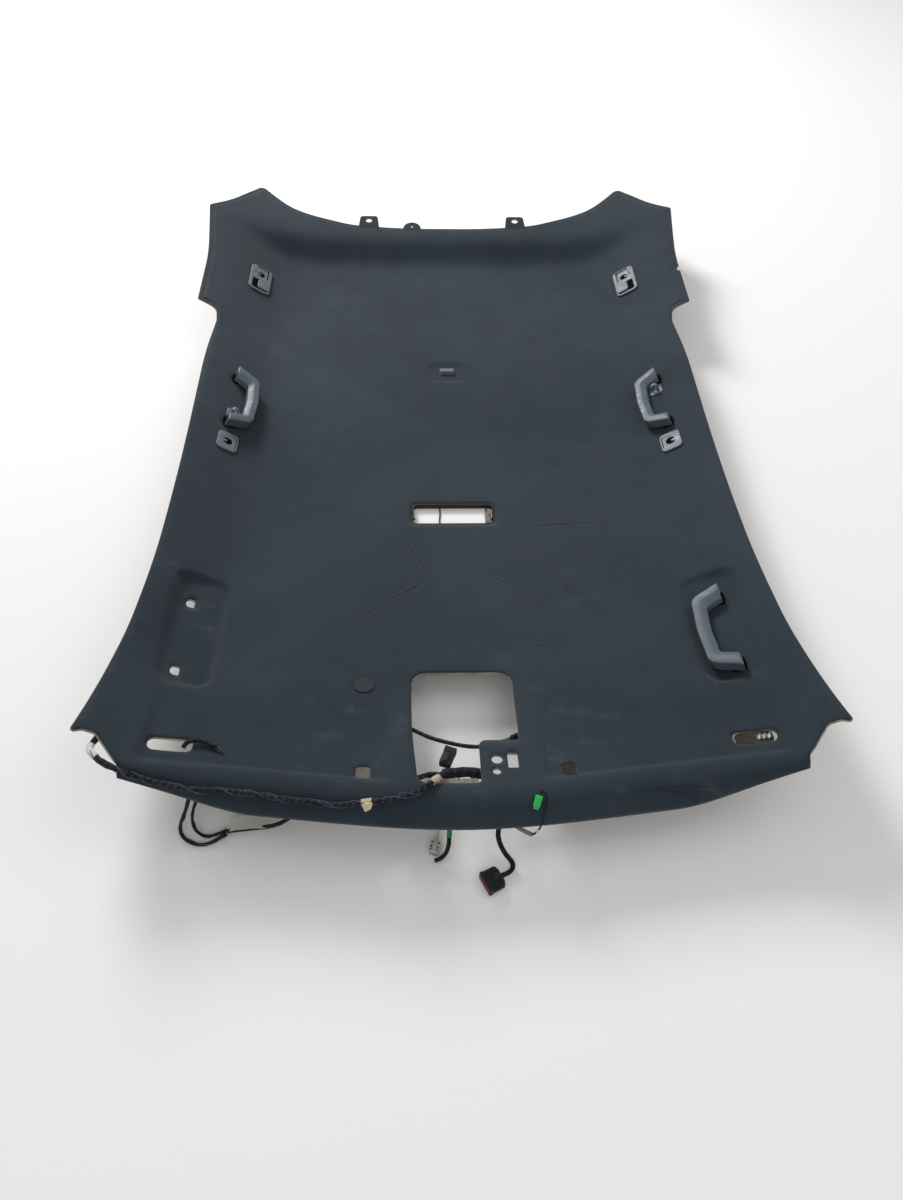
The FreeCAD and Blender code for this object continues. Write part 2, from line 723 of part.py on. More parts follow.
def buildHandle(label, place):
    body = doc.addObject("PartDesign::Body", label)
    halfLong = "Sizes.handleLong / 2"
    halfBar = "Sizes.barLong / 2"
    lean = "(Sizes.handleLong - Sizes.barLong) / 2 / Sizes.handleReach"
    inner = "Sizes.handleReach - Sizes.barWide"
    right = [(halfLong, "0"), (halfBar, "Sizes.handleReach")]
    rightInner = [(halfLong + " - Sizes.legWide - (%s) * (%s)" % (inner, lean), inner),
                  (halfLong + " - Sizes.legWide", "0")]
    corners = right + mirrored(right) + mirrored(rightInner) + rightInner
    profile = cornerSketch(body, label + "_outline", "XY_Plane", corners)
    profile.setExpression("AttachmentOffset.Base.z", "Sizes.handleLow")
    pad = body.newObject("PartDesign::Pad", label + "_bar")
    pad.Profile = profile
    pad.setExpression("Length", "Sizes.handleHigh - Sizes.handleLow")
    doc.recompute()

    def edgesOf(feature, test):
        return ["Edge%d" % (i + 1) for i, edge in enumerate(feature.Shape.Edges) if test(edge)]

    def rounded(name, base, radius, test):
        item = body.newObject("PartDesign::Fillet", name)
        item.Base = (base, edgesOf(base, test))
        item.setExpression("Radius", radius)
        doc.recompute()
        return item
    reach = cell("handleReach")
    outer = rounded(label + "_corner", pad, "Sizes.barCorner",
                    lambda edge: upright(edge) and edge.CenterOfMass.y > reach - 1.0)
    inside = rounded(label + "_inner", outer, "Sizes.barInnerCorner",
                     lambda edge: upright(edge) and 5.0 < edge.CenterOfMass.y < reach - 10.0
                     and edge.Curve.TypeId == "Part::GeomLine" and abs(edge.CenterOfMass.y
                     - (reach - cell("barWide"))) < 1.0)
    ends = rounded(label + "_foot_ends", inside, "Sizes.footRound",
                   lambda edge: edge.BoundBox.YMax < 0.01 and edge.BoundBox.XLength > 5.0)
    rounded(label + "_edges", ends, "Sizes.handleEdge",
            lambda edge: edge.BoundBox.ZMin > cell("handleHigh") - 0.01
            and edge.CenterOfMass.y > cell("footRound") + 0.5)
    slotSketch = body.newObject("Sketcher::SketchObject", label + "_slots")
    slotSketch.AttachmentSupport = (originPlane(body, "XY_Plane"), [""])
    slotSketch.MapMode = "FlatFace"
    for end in (-1, 1):
        middle = end * cell("footCentre")
        half = cell("slotWide") / 2
        rim = [vec(middle - half, -5, 0), vec(middle + half, -5, 0),
               vec(middle + half, cell("slotDeep"), 0), vec(middle - half, cell("slotDeep"), 0)]
        for i in range(4):
            slotSketch.addGeometry(Part.LineSegment(rim[i], rim[(i + 1) % 4]), False)
    slots = body.newObject("PartDesign::Pocket", label + "_slot_cut")
    slots.Profile = slotSketch
    slots.Reversed = True
    slots.setExpression("Length", "Sizes.slotTop")
    bores = body.newObject("Sketcher::SketchObject", label + "_bores")
    bores.AttachmentSupport = (originPlane(body, "YZ_Plane"), [""])
    bores.MapMode = "FlatFace"
    bores.addGeometry(Part.Circle(vec(cell("pivotIn"), cell("pivotUp"), 0), vec(0, 0, 1),
                                  cell("pinDiameter") / 2 + cell("pinRunning")), False)
    bore = body.newObject("PartDesign::Pocket", label + "_bore_cut")
    bore.Profile = bores
    bore.Midplane = True
    bore.Length = 2 * cell("footCentre") + cell("pinLong") + 0.6
    body.Tip = bore
    body.Placement = place
    return keep(label, body)


for name, place in handleSeats().items():
    buildHandle("grab_handle_" + name, place)
    for end, word in ((-1, "a"), (1, "b")):
        buildFoot("handle_foot_%s_%s" % (name, word), place, end)
        buildPin("handle_pin_%s_%s" % (name, word), place, end)


# Coat hooks beside the rear handles' feet
def buildHook(label, place):
    plate = boxAt(label + "_plate", ("Sizes.hookPlate", "Sizes.hookPlate", "Sizes.hookPlateThick"),
                  ("Sizes.hookAlong - Sizes.hookPlate / 2", "Sizes.hookIn - Sizes.hookPlate / 2",
                   "Sizes.seatGap"))
    plate = filleted(label + "_round", plate, 6.0, upright)
    centreUp = "Sizes.hookHigh / 2 + Sizes.hookPlateThick / 2"
    start = ("Sizes.hookAlong - Sizes.hookWide / 2", "Sizes.hookIn", centreUp)
    outer = rodAt(label + "_outer", "(Sizes.hookHigh - Sizes.hookPlateThick) / 2", "Sizes.hookWide",
                  start, turnAlong)
    inner = rodAt(label + "_inner", "(Sizes.hookHigh - Sizes.hookPlateThick) / 2 - Sizes.hookThick",
                  "Sizes.hookWide", start, turnAlong)
    ring = minus(label + "_ring", outer, inner)
    gap = boxAt(label + "_gap", ("Sizes.hookWide + 2", "Sizes.hookHigh", "Sizes.hookHigh / 2 - 2"),
                ("Sizes.hookAlong - Sizes.hookWide / 2 - 1", "Sizes.hookIn + 1",
                 "Sizes.hookPlateThick + Sizes.seatGap"))
    hook = fused(label, [plate, minus(label + "_curl", ring, gap)])
    hook.Placement = place
    return keep(label, hook)


# Net anchors: a rounded plate with a curved slot and a shallow groove round two of its sides
def curvedSlot(label, plateTop, deep, along, radius):
    """A round well with a tongue left standing in it from the outboard side."""
    well = rodAt(label + "_well", radius, deep + " + 1", (along, "0", "%s - (%s)" % (plateTop, deep)),
                 turnUp)
    tongue = boxAt(label + "_tongue", ("Sizes.slotTongueWide", radius, deep + " + 2"),
                   (along + " - Sizes.slotTongueWide / 2", "-(%s)" % radius,
                    "%s - (%s) - 0.5" % (plateTop, deep)))
    return minus(label + "_curve", well, tongue)


def studUnder(label, along):
    return rodAt(label + "_stud", "Sizes.studDiameter / 2", "Sizes.bossLong",
                 (along, "0", "Sizes.seatGap - Sizes.bossLong"), turnUp)


def buildAnchor(label, side):
    top = "(Sizes.seatGap + Sizes.bezelThick)"
    plate = boxAt(label + "_plate", ("Sizes.bezelLong", "Sizes.bezelDeep", "Sizes.bezelThick"),
                  ("-Sizes.bezelLong / 2", "-Sizes.bezelDeep / 2", "Sizes.seatGap"))
    plate = filleted(label + "_round", plate, cell("bezelCorner"), upright)
    body = minus(label + "_slotted", plate,
                 curvedSlot(label, top, "Sizes.bezelThick - 1", "0", "Sizes.slotRing / 2"))
    lower = top + " - Sizes.grooveDeep"
    inboard = boxAt(label + "_groove_in",
                    ("0.62 * Sizes.bezelLong", "Sizes.grooveWide", "2 * Sizes.grooveDeep"),
                    ("-0.31 * Sizes.bezelLong", "Sizes.bezelDeep / 2 - Sizes.grooveInset", lower))
    rear = boxAt(label + "_groove_rear",
                 ("Sizes.grooveWide", "0.55 * Sizes.bezelDeep", "2 * Sizes.grooveDeep"),
                 ("(%d) * 0.31 * Sizes.bezelLong - Sizes.grooveWide / 2" % side,
                  "Sizes.bezelDeep / 2 - Sizes.grooveInset - 0.5 * Sizes.bezelDeep", lower))
    body = minus(label + "_grooved", body, fused(label + "_grooves", [inboard, rear]))
    anchor = fused(label, [body, studUnder(label, "0")])
    anchor.Placement = anchorSeat(side)
    return keep(label, anchor)


# Rear brackets: a slotted plate whose front half is a deep pocket with a hooked pad in it
def buildBracket(label, side):
    top = "(Sizes.seatGap + Sizes.bracketThick)"
    stud = "(%d) * Sizes.studAlong" % side
    plate = boxAt(label + "_plate", ("Sizes.bracketLong", "Sizes.bracketDeep", "Sizes.bracketThick"),
                  ("-Sizes.bracketLong / 2", "-Sizes.bracketDeep / 2", "Sizes.seatGap"))
    plate = filleted(label + "_round", plate, cell("bracketCorner"), upright)
    rearIn = "Sizes.darkSlotIn - Sizes.darkSlotWide / 2"
    rearAlong = "(%d) * (Sizes.bracketLong / 2 - %s)" % (side, rearIn)
    rear = boxAt(label + "_rear_slot", ("Sizes.darkSlotWide", "Sizes.darkSlotLong", "Sizes.bracketThick"),
                 (rearAlong + " - Sizes.darkSlotWide / 2", "-Sizes.darkSlotLong / 2",
                  top + " - 2 * Sizes.grooveDeep"))
    edge = boxAt(label + "_edge_slot",
                 ("1.6 * Sizes.studAlong", "2.5 * Sizes.grooveWide", "Sizes.bracketThick"),
                 (stud + " - 0.8 * Sizes.studAlong", "Sizes.darkSlotLong / 2", top + " - Sizes.grooveDeep"))
    line = boxAt(label + "_line_slot", ("0.8 * Sizes.studAlong", "Sizes.grooveWide", "Sizes.bracketThick"),
                 ("(%d) * Sizes.studAlong * 1.25 - 0.4 * Sizes.studAlong" % side,
                  "-Sizes.darkSlotLong / 2 - Sizes.grooveWide", top + " - Sizes.grooveDeep"))
    pocket = boxAt(label + "_pocket",
                   ("Sizes.pocketCutLong", "Sizes.pocketCutWide", "Sizes.pocketCutDeep + 1"),
                   ("(%d) * (-Sizes.bracketLong / 4) - Sizes.pocketCutLong / 2" % side,
                    "-Sizes.pocketCutWide / 2 + 2", top + " - Sizes.pocketCutDeep"))
    curve = curvedSlot(label, top, "Sizes.bracketThick - 1", stud, "Sizes.slotRing / 2")
    cuts = fused(label + "_cuts", [rear, edge, line, pocket, curve])
    bracket = fused(label, [minus(label + "_cut", plate, cuts), studUnder(label, stud)])
    bracket.Placement = bracketSeat(side)
    keep(label, bracket)
    word = label.split("_")[-1]
    padStart = "(%d) * (-Sizes.bracketLong / 4 + 1) - Sizes.padLong / 2" % side
    cap = boxAt(label + "_pad_cap", ("Sizes.padLong", "Sizes.padWide", "Sizes.padRise"),
                (padStart, "Sizes.bracketDeep / 2 - Sizes.padWide - 0.5", top + " + Sizes.seatGap"))
    cap = filleted(label + "_pad_round", cap, cell("padCorner"), upright)
    root = boxAt(label + "_pad_root",
                 ("Sizes.padLong - 4", "Sizes.padWide - 10", "Sizes.pocketCutDeep + 0.5"),
                 (padStart + " + 2", "Sizes.bracketDeep / 2 - Sizes.padWide + 0.5",
                  top + " - Sizes.pocketCutDeep + Sizes.seatGap"))
    pad = fused("net_hook_pad_" + word, [cap, root])
    pad.Placement = bracketSeat(side)
    keep("net_hook_pad_" + word, pad)


# Small pieces in the sheet's openings
def buildRetainer():
    outer = boxAt("dome_outer", ("2 * Sizes.domeHalf - 0.6", "Sizes.domeDeep - 0.6",
                  "Sizes.retainerHigh - Sizes.retainerLow"),
                  ("-Sizes.domeHalf + 0.3", "Sizes.domeY - Sizes.domeDeep / 2 + 0.3",
                   "Sizes.retainerLow"))
    outer = filleted("dome_outer_round", outer, cell("domeCorner") - 0.3, upright)
    inner = boxAt("dome_inner", ("2 * Sizes.domeHalf - 0.6 - 2 * Sizes.retainerWall",
                  "Sizes.domeDeep - 0.6 - 2 * Sizes.retainerWall", "40"),
                  ("-Sizes.domeHalf + 0.3 + Sizes.retainerWall",
                   "Sizes.domeY - Sizes.domeDeep / 2 + 0.3 + Sizes.retainerWall", "0"))
    inner = filleted("dome_inner_round", inner, cell("domeCorner") - cell("retainerWall"), upright)
    keep("dome_retainer", minus("dome_retainer", outer, inner))


def buildCentreClip():
    place = vec(0, cell("clipRecessY") + cell("clipBehind"), height(0, cell("clipRecessY")))
    plate = boxAt("clip_plate", ("Sizes.clipPlateLong", "Sizes.clipPlateDeep", "Sizes.clipTabHigh / 3"),
                  ("-Sizes.clipPlateLong / 2", "-Sizes.clipPlateDeep / 2", "Sizes.seatGap"))
    plate = filleted("clip_plate_round", plate, 4.0, upright)
    tab = boxAt("clip_tab", ("Sizes.clipTabLong", "Sizes.clipTabDeep", "Sizes.clipTabHigh"),
                ("-Sizes.clipTabLong / 2", "3 - Sizes.clipTabDeep", "Sizes.seatGap + 1"))
    tab = filleted("clip_tab_round", tab, 3.0, upright)
    clip = fused("centre_clip", [plate, tab])
    clip.Placement = FreeCAD.Placement(place, FreeCAD.Rotation())
    keep("centre_clip", clip)


def buildPlug():
    disc = rodAt("plug_disc", "Sizes.plugDiameter / 2", "Sizes.plugCapThick", ("0", "0", "Sizes.seatGap"),
                 turnUp)
    stem = rodAt("plug_stem", "Sizes.plugDiameter / 2 - Sizes.plugStemWall", "Sizes.plugStemLong + 1",
                 ("0", "0", "-Sizes.plugStemLong"), turnUp)
    plug = fused("hole_plug", [disc, stem])
    plug.Placement = plugSeat()
    keep("hole_plug", plug)


def buildVisorBracket():
    """The bracket behind the right visor slot, with the pronged contact that stands on it."""
    place = seatAt(cell("visorSlotX"), cell("visorSlotY"), 1)
    floor = "-Sizes.bracketSunk"
    plate = boxAt("visor_plate", ("Sizes.visorSlotDeep - 6 * Sizes.holeFit",
                  "Sizes.visorSlotLong - 2 * Sizes.bracketEndGap", "Sizes.bracketPlateThick"),
                  ("-Sizes.visorSlotDeep / 2 + 3 * Sizes.holeFit + Sizes.bracketShift",
                   "-Sizes.visorSlotLong / 2 + Sizes.bracketEndGap", floor))
    plate = filleted("visor_bracket_right", plate, 8.0, upright)
    plate.Placement = place
    keep("visor_bracket_right", plate)
    floor += " + Sizes.bracketPlateThick + 0.05"
    pieces = [boxAt("contact_base", ("Sizes.prongDeep", "3 * Sizes.prongPitch", "1"),
                    ("-Sizes.prongDeep / 2", "-3.5 * Sizes.prongPitch", floor))]
    for i in range(3):
        pieces.append(boxAt("contact_prong%d" % i, ("Sizes.prongDeep", "Sizes.prongWide", "Sizes.prongHigh"),
                            ("-Sizes.prongDeep / 2", "(%d - 3.3) * Sizes.prongPitch" % i, floor)))
    contact = fused("visor_contact_right", pieces)
    contact.Placement = place
    keep("visor_contact_right", contact)


def buildVisorClip():
    """The clip that fills the right one of the two square holes behind the lip."""
    half = cell("clipHoleWide") / 2 - cell("holeFit")
    base = height(cell("clipHoleX"), cell("clipHoleY")) - cell("visorClipSunk")
    item = keep("visor_clip_right", doc.addObject("Part::Feature", "visor_clip_right"))
    item.Shape = prism(rectangle(cell("clipHoleX"), cell("clipHoleY"), half, half, 4.7), base,
                       base + cell("visorClipThick"))


def buildDomeClips():
    """Spring clips on the two end walls of the lamp's retainer."""
    for side, word in ((-1, "left"), (1, "right")):
        wallIn = "(Sizes.domeHalf - Sizes.holeFit - Sizes.retainerWall - Sizes.holeFit)"
        start = wallIn + " - Sizes.domeClipThick" if side > 0 else "-" + wallIn
        leaf = boxAt("dome_leaf_" + word,
                     ("Sizes.domeClipThick", "Sizes.domeClipWide", "Sizes.domeClipHigh"),
                     (start, "Sizes.domeY - Sizes.domeClipWide / 2", "Sizes.retainerLow - 1"))
        gap = boxAt("dome_leaf_gap_" + word,
                    ("3 * Sizes.domeClipThick", "Sizes.domeClipWide / 3", "Sizes.domeClipHigh / 2"),
                    (start + " - Sizes.domeClipThick", "Sizes.domeY - Sizes.domeClipWide / 6",
                     "Sizes.retainerLow - 1 + Sizes.domeClipHigh / 2"))
        keep("dome_clip_" + word, minus("dome_clip_" + word, leaf, gap))


def buildFelt():
    """The felt pad under the sheet's front edge, seen through the console opening."""
    felt = boxAt("felt_box", ("Sizes.feltWide", "Sizes.feltLong", "Sizes.feltThick"),
                 ("-Sizes.feltWide / 2", "-Sizes.feltLong / 2",
                  "-Sizes.panelWall - 2 * Sizes.seatGap - Sizes.feltThick"))
    felt = filleted("felt_pad", felt, 4.0, upright)
    felt.Placement = seatAt(cell("feltX"), cell("feltY"), 1)
    keep("felt_pad", felt)


seats = handleSeats()
buildHook("coat_hook_right", seats["rear_right"])
buildHook("coat_hook_left", seats["rear_left"])
for side, word in ((1, "right"), (-1, "left")):
    buildAnchor("net_anchor_" + word, side)
    buildBracket("rear_bracket_" + word, side)
buildRetainer()
buildCentreClip()
buildPlug()
buildVisorBracket()
buildVisorClip()
buildDomeClips()
buildFelt()


# Cords: straight runs joined by tangent arcs as wide as the runs allow
def cordPath(points):
    places = [vec(*point) for point in points]
    edges = []
    start = places[0]
    tightest = 1e9
    for i in range(1, len(places) - 1):
        here = places[i]
        back = places[i - 1] - here
        ahead = places[i + 1] - here
        turn = pi - back.getAngle(ahead)
        reach = 0.45 * min(back.Length, ahead.Length)
        radius = reach / tan(turn / 2)
        tightest = min(tightest, radius)
        first = here + back.normalize() * reach
        last = here + ahead.normalize() * reach
        inward = (back + ahead).normalize()
        middle = here + inward * (hypot(radius, reach) - radius)
        edges.append(Part.LineSegment(start, first).toShape())
        edges.append(Part.Arc(first, middle, last).toShape())
        start = last
    edges.append(Part.LineSegment(start, places[-1]).toShape())
    return Part.Wire(edges), tightest


def buildCord(label, points, diameter):
    path, tightest = cordPath(points)
    start = vec(*points[0])
    heading = (vec(*points[1]) - start).normalize()
    ring = Part.Wire(Part.makeCircle(diameter / 2, start, heading))
    tube = path.makePipeShell([ring], True, False)
    ratio = tube.Volume / (pi * diameter * diameter / 4 * path.Length)
    print(label, "tightest radius", round(tightest / diameter, 1), "diameters, volume ratio",
          round(ratio, 4))
    item = keep(label, doc.addObject("Part::Feature", label))
    item.Shape = tube
    return item


cords = {
    "harness_trunk": (9.0, [
        (-560, -838, 112), (-571, -870, 122), (-585, -903, 137), (-587, -930, 151),
        (-568, -948, 155), (-545, -961, 149), (-519, -968, 138), (-491, -972, 127), (-463, -977, 121),
        (-421, -984, 116), (-375, -985, 116), (-330, -991, 114), (-286, -998, 111), (-240, -1005, 111),
        (-196, -1011, 111), (-158, -1008, 115), (-120, -1006, 118), (-88, -999, 120),
        (-67, -987, 120.5), (-51, -972, 116.5), (-37, -953.2, 106.8)]),
    "harness_bundle": (17.0, [
        (-38, -951, 96), (-14, -944, 90), (10, -941, 86), (32, -946, 82)]),
    "harness_link": (9.0, [
        (32.5, -946.1, 81.9), (50, -950.1, 78.7), (62, -966, 74), (63, -988, 67), (56, -1008, 60)]),
    "bundle_branch": (9.0, [
        (-118, -962, 82), (-97, -957, 84), (-75, -950, 87), (-57, -947, 91), (-41.3, -951.8, 95.1)]),
    "console_lead": (7.0, [
        (-112, -838, 72.8), (-86, -847, 65), (-58, -863, 65), (-30, -873, 66), (0, -881, 66),
        (28, -883, 66), (50, -877, 66), (70, -871, 66), (92, -862, 67), (112, -856, 76.5)]),
    "lead_floor_black": (8.0, [
        (55.5, -1008.9, 59), (47, -1024, 46), (50, -1038, 32), (60, -1052, 18), (73, -1062, 8),
        (70, -1073, 6), (61, -1079, 7), (52.2, -1083, 8.7)]),
    "lead_grey_left": (7.0, [
        (-22, -953.4, 84.6), (-25, -974, 72), (-28, -1000, 58), (-29, -1026, 44), (-30, -1042, 28),
        (-38, -1052, 11), (-52, -1055, 6)]),
    "lead_white_left": (4.0, [
        (-31, -955.9, 88.7), (-33, -975, 69), (-38, -992, 49), (-45, -1008, 26), (-48.2, -1020.8, 9)]),
    "foam_sleeve": (7.0, [
        (65.7, -1004, 64), (71, -1024, 67), (83, -1036, 69), (98, -1045, 72)]),
    "lead_green": (3.0, [
        (98.8, -1045.5, 72.4), (106, -1047, 84), (114, -1037, 100), (118, -1022, 111),
        (120, -1010, 116), (120, -1002, 119), (117, -997, 120.5), (113, -996.5, 120),
        (109.4, -1002.2, 117.3)]),
    "loop_outer": (6.0, [
        (-437, -938, 104.8), (-438, -953, 86), (-443, -968, 62), (-452, -984, 42), (-463, -993, 18),
        (-461, -1004, 5), (-446, -1016, 4), (-425, -1021, 4), (-406, -1015, 5), (-388.3, -1003.6, 10)]),
    "loop_inner": (5.0, [
        (-427, -938, 103.5), (-428, -953, 83), (-433, -968, 58), (-441, -981, 38), (-443, -992, 16),
        (-434, -1001, 5), (-418, -1006, 4), (-402, -1003, 7), (-388.3, -997.8, 10.8)]),
    "loop_tail": (7.0, [
        (-387, -1000.6, 10.8), (-362, -1000, 16), (-338, -1002, 24), (-314, -1005, 34), (-292, -1004, 46),
        (-272, -995, 60), (-254, -976, 78), (-244, -954, 91.5)]),
    "visor_stub": (8.0, [
        (-458, -892, 94), (-454, -890, 101), (-442, -886, 105), (-422, -887, 101.8), (-404, -897, 100.1)]),
    "dome_lead_left": (3.0, [(-31, -340, 2.2), (-27, -310, 2.2), (-30, -275, 2.2), (-26, -245, 2.3),
                             (-31, -219, 2.4)]),
    "dome_lead_right": (3.0, [(70, -340, 2.2), (74, -310, 2.2), (71, -275, 2.2), (75, -245, 2.3),
                              (70, -219, 2.4)]),
}
for label, (diameter, points) in cords.items():
    buildCord(label, points, diameter)


# Connectors: a housing, its middle, its size and the way that its leads leave it
def buildConnector(label, middle, size, heading, corner):
    box = boxAt(label + "_box", [str(value) for value in size],
                [str(-size[0] / 2), str(-size[1] / 2), str(-size[2] / 2)])
    housing = filleted(label, box, corner, upright)
    rotation = FreeCAD.Rotation(vec(*heading), vec(0, 0, 1).cross(vec(*heading)), vec(0, 0, 1), "XZY")
    housing.Placement = FreeCAD.Placement(vec(*middle), rotation)
    keep(label, housing)


buildConnector("pillar_connector", (-552.5, -818, 107.5), (36, 22, 13), (-11, -32, 10), 2.0)
buildConnector("bundle_connector", (-30, -919.8, 97), (34, 20, 16), (0.4, 1, 0), 2.0)
buildConnector("floor_connector_black", (38, -1090, 9.5), (30, 36, 18), (20, 10, 0), 3.0)
buildConnector("floor_connector_grey", (-52, -1033, 8), (22, 16, 14), (0.3, 1, 0), 2.0)
buildConnector("roll_connector_green", (106, -1012, 113), (22, 11, 9), (0.35, 1, 0.45), 1.5)
buildConnector("loop_tag", (-350, -994, 27), (66, 24, 0.8), (24, -1, 8), 1.0)

doc.recompute()
for item in doc.Objects:
    if "Invalid" in item.State or "Error" in item.State:
        raise ValueError("%s failed: %s" % (item.Name, item.State))
for label, item in nodes.items():
    shape = item.Shape
    if shape.isNull() or not shape.isValid() or not shape.Solids:
        raise ValueError("%s has no valid solid" % label)
    print(label, round(shape.Volume), len(shape.Solids))
    shape.exportStep("parts/%s.step" % label)
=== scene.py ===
import bpy
import numpy as np
from math import cos, hypot, pi, radians, sin, tan
from mathutils import Matrix, Vector
from mathutils.geometry import delaunay_2d_cdt


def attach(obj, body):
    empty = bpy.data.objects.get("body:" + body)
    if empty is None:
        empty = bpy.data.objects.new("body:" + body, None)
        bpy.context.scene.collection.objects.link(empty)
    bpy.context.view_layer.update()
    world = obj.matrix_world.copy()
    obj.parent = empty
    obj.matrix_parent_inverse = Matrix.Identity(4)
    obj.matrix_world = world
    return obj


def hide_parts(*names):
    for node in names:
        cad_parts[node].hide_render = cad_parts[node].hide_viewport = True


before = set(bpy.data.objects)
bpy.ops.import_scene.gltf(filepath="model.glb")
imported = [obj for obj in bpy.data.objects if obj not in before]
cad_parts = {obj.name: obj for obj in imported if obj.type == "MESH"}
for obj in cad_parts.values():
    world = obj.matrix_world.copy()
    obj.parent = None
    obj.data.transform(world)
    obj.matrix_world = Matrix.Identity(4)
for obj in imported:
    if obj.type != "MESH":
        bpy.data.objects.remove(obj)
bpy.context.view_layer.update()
scene = bpy.context.scene
rng = np.random.default_rng(7)
print("frame loaded")

# camera: over the front edge, looking down the lining to its rear
cameraView = {"place": (-0.0733, -1.681, 1.366), "lens": 27.06, "focal": 902.0, "drop": 1044.0}


def makeCamera():
    focal, drop = cameraView["focal"], cameraView["drop"]
    rowY = Vector((-39.5, -drop, focal)).normalized()
    rowX = Vector(((focal * focal + 190.0 * drop) / 39.5, -190.0, focal)).normalized()
    rowX = (rowX - rowY * rowX.dot(rowY)).normalized()
    rowZ = rowX.cross(rowY)
    right = Vector((rowX.x, rowY.x, rowZ.x))
    up = -Vector((rowX.y, rowY.y, rowZ.y))
    back = -Vector((rowX.z, rowY.z, rowZ.z))
    data = bpy.data.cameras.new("photoCamera")
    data.lens = cameraView["lens"]
    data.sensor_width = 36.0
    data.clip_end = 60.0
    camera = bpy.data.objects.new("photoCamera", data)
    turn = Matrix((right, up, back)).transposed().to_4x4()
    camera.matrix_world = Matrix.Translation(cameraView["place"]) @ turn
    scene.collection.objects.link(camera)
    scene.camera = camera


makeCamera()
print("camera made")


# shared helpers for meshes and materials
def linearShade(red, green, blue):
    out = []
    for value in (red, green, blue):
        part = value / 255.0
        out.append(part / 12.92 if part <= 0.04045 else ((part + 0.055) / 1.055) ** 2.4)
    return (*out, 1.0)


def meshObject(name, verts, faces, materials, body="panel", smooth=True, faceSlots=None):
    mesh = bpy.data.meshes.new(name)
    mesh.from_pydata([tuple(v) for v in verts], [], [tuple(f) for f in faces])
    for material in materials:
        mesh.materials.append(material)
    if faceSlots is not None:
        mesh.polygons.foreach_set("material_index", faceSlots)
    mesh.polygons.foreach_set("use_smooth", [smooth] * len(mesh.polygons))
    mesh.update()
    piece = bpy.data.objects.new(name, mesh)
    scene.collection.objects.link(piece)
    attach(piece, body)
    return piece


def wire(tree, source, target):
    tree.links.new(source, target)


def feed(tree, socket, value):
    if isinstance(value, bpy.types.NodeSocket):
        wire(tree, value, socket)
    else:
        socket.default_value = value


def calc(tree, how, first, second=0.0, third=None):
    node = tree.nodes.new("ShaderNodeMath")
    node.operation = how
    feed(tree, node.inputs[0], first)
    feed(tree, node.inputs[1], second)
    if third is not None:
        feed(tree, node.inputs[2], third)
    return node.outputs[0]


def times(tree, first, second):
    return calc(tree, "MULTIPLY", first, second)


def plus(tree, first, second):
    return calc(tree, "ADD", first, second)


def larger(tree, first, second):
    return calc(tree, "MAXIMUM", first, second)


def vectorMath(tree, how, first, second=None):
    node = tree.nodes.new("ShaderNodeVectorMath")
    node.operation = how
    wire(tree, first, node.inputs[0])
    if second is not None:
        feed(tree, node.inputs["Scale" if how == "SCALE" else 1], second)
    return node.outputs["Value" if how in ("LENGTH", "DOT_PRODUCT") else "Vector"]


def splitVector(tree, vector):
    node = tree.nodes.new("ShaderNodeSeparateXYZ")
    wire(tree, vector, node.inputs[0])
    return node.outputs


def cellTexture(tree, vector, scale):
    node = tree.nodes.new("ShaderNodeTexVoronoi")
    wire(tree, vector, node.inputs["Vector"])
    feed(tree, node.inputs["Scale"], scale)
    return node.outputs


def remap(tree, value, fromLow, fromHigh, toLow=0.0, toHigh=1.0, kind="SMOOTHSTEP"):
    node = tree.nodes.new("ShaderNodeMapRange")
    node.interpolation_type = kind
    feed(tree, node.inputs["Value"], value)
    feed(tree, node.inputs["From Min"], fromLow)
    feed(tree, node.inputs["From Max"], fromHigh)
    feed(tree, node.inputs["To Min"], toLow)
    feed(tree, node.inputs["To Max"], toHigh)
    return node.outputs["Result"]


def blendColour(tree, mask, first, second, how="MIX"):
    node = tree.nodes.new("ShaderNodeMix")
    node.data_type = "RGBA"
    node.blend_type = how
    feed(tree, node.inputs["Factor"], mask)
    feed(tree, node.inputs["A"], first)
    feed(tree, node.inputs["B"], second)
    return node.outputs["Result"]


def noise(tree, vector, scale, detail=3.0, rough=0.5, stretch=None, shift=(0, 0, 0)):
    if stretch is not None or shift != (0, 0, 0):
        mapping = tree.nodes.new("ShaderNodeMapping")
        wire(tree, vector, mapping.inputs["Vector"])
        mapping.inputs["Scale"].default_value = stretch or (1, 1, 1)
        mapping.inputs["Location"].default_value = shift
        vector = mapping.outputs["Vector"]
    node = tree.nodes.new("ShaderNodeTexNoise")
    wire(tree, vector, node.inputs["Vector"])
    feed(tree, node.inputs["Scale"], scale)
    node.inputs["Detail"].default_value = detail
    node.inputs["Roughness"].default_value = rough
    return node.outputs["Fac"]


def makeGroup(name, inputs, outputs):
    group = bpy.data.node_groups.new(name, "ShaderNodeTree")
    for label, kind, value in inputs:
        socket = group.interface.new_socket(name=label, in_out="INPUT", socket_type="NodeSocket" + kind)
        if value is not None:
            socket.default_value = value
    for label, kind in outputs:
        group.interface.new_socket(name=label, in_out="OUTPUT", socket_type="NodeSocket" + kind)
    entry = group.nodes.new("NodeGroupInput")
    leave = group.nodes.new("NodeGroupOutput")
    return group, entry.outputs, leave.inputs


def useGroup(tree, group, **values):
    node = tree.nodes.new("ShaderNodeGroup")
    node.node_tree = group
    for label, value in values.items():
        feed(tree, node.inputs[label], value)
    return node.outputs


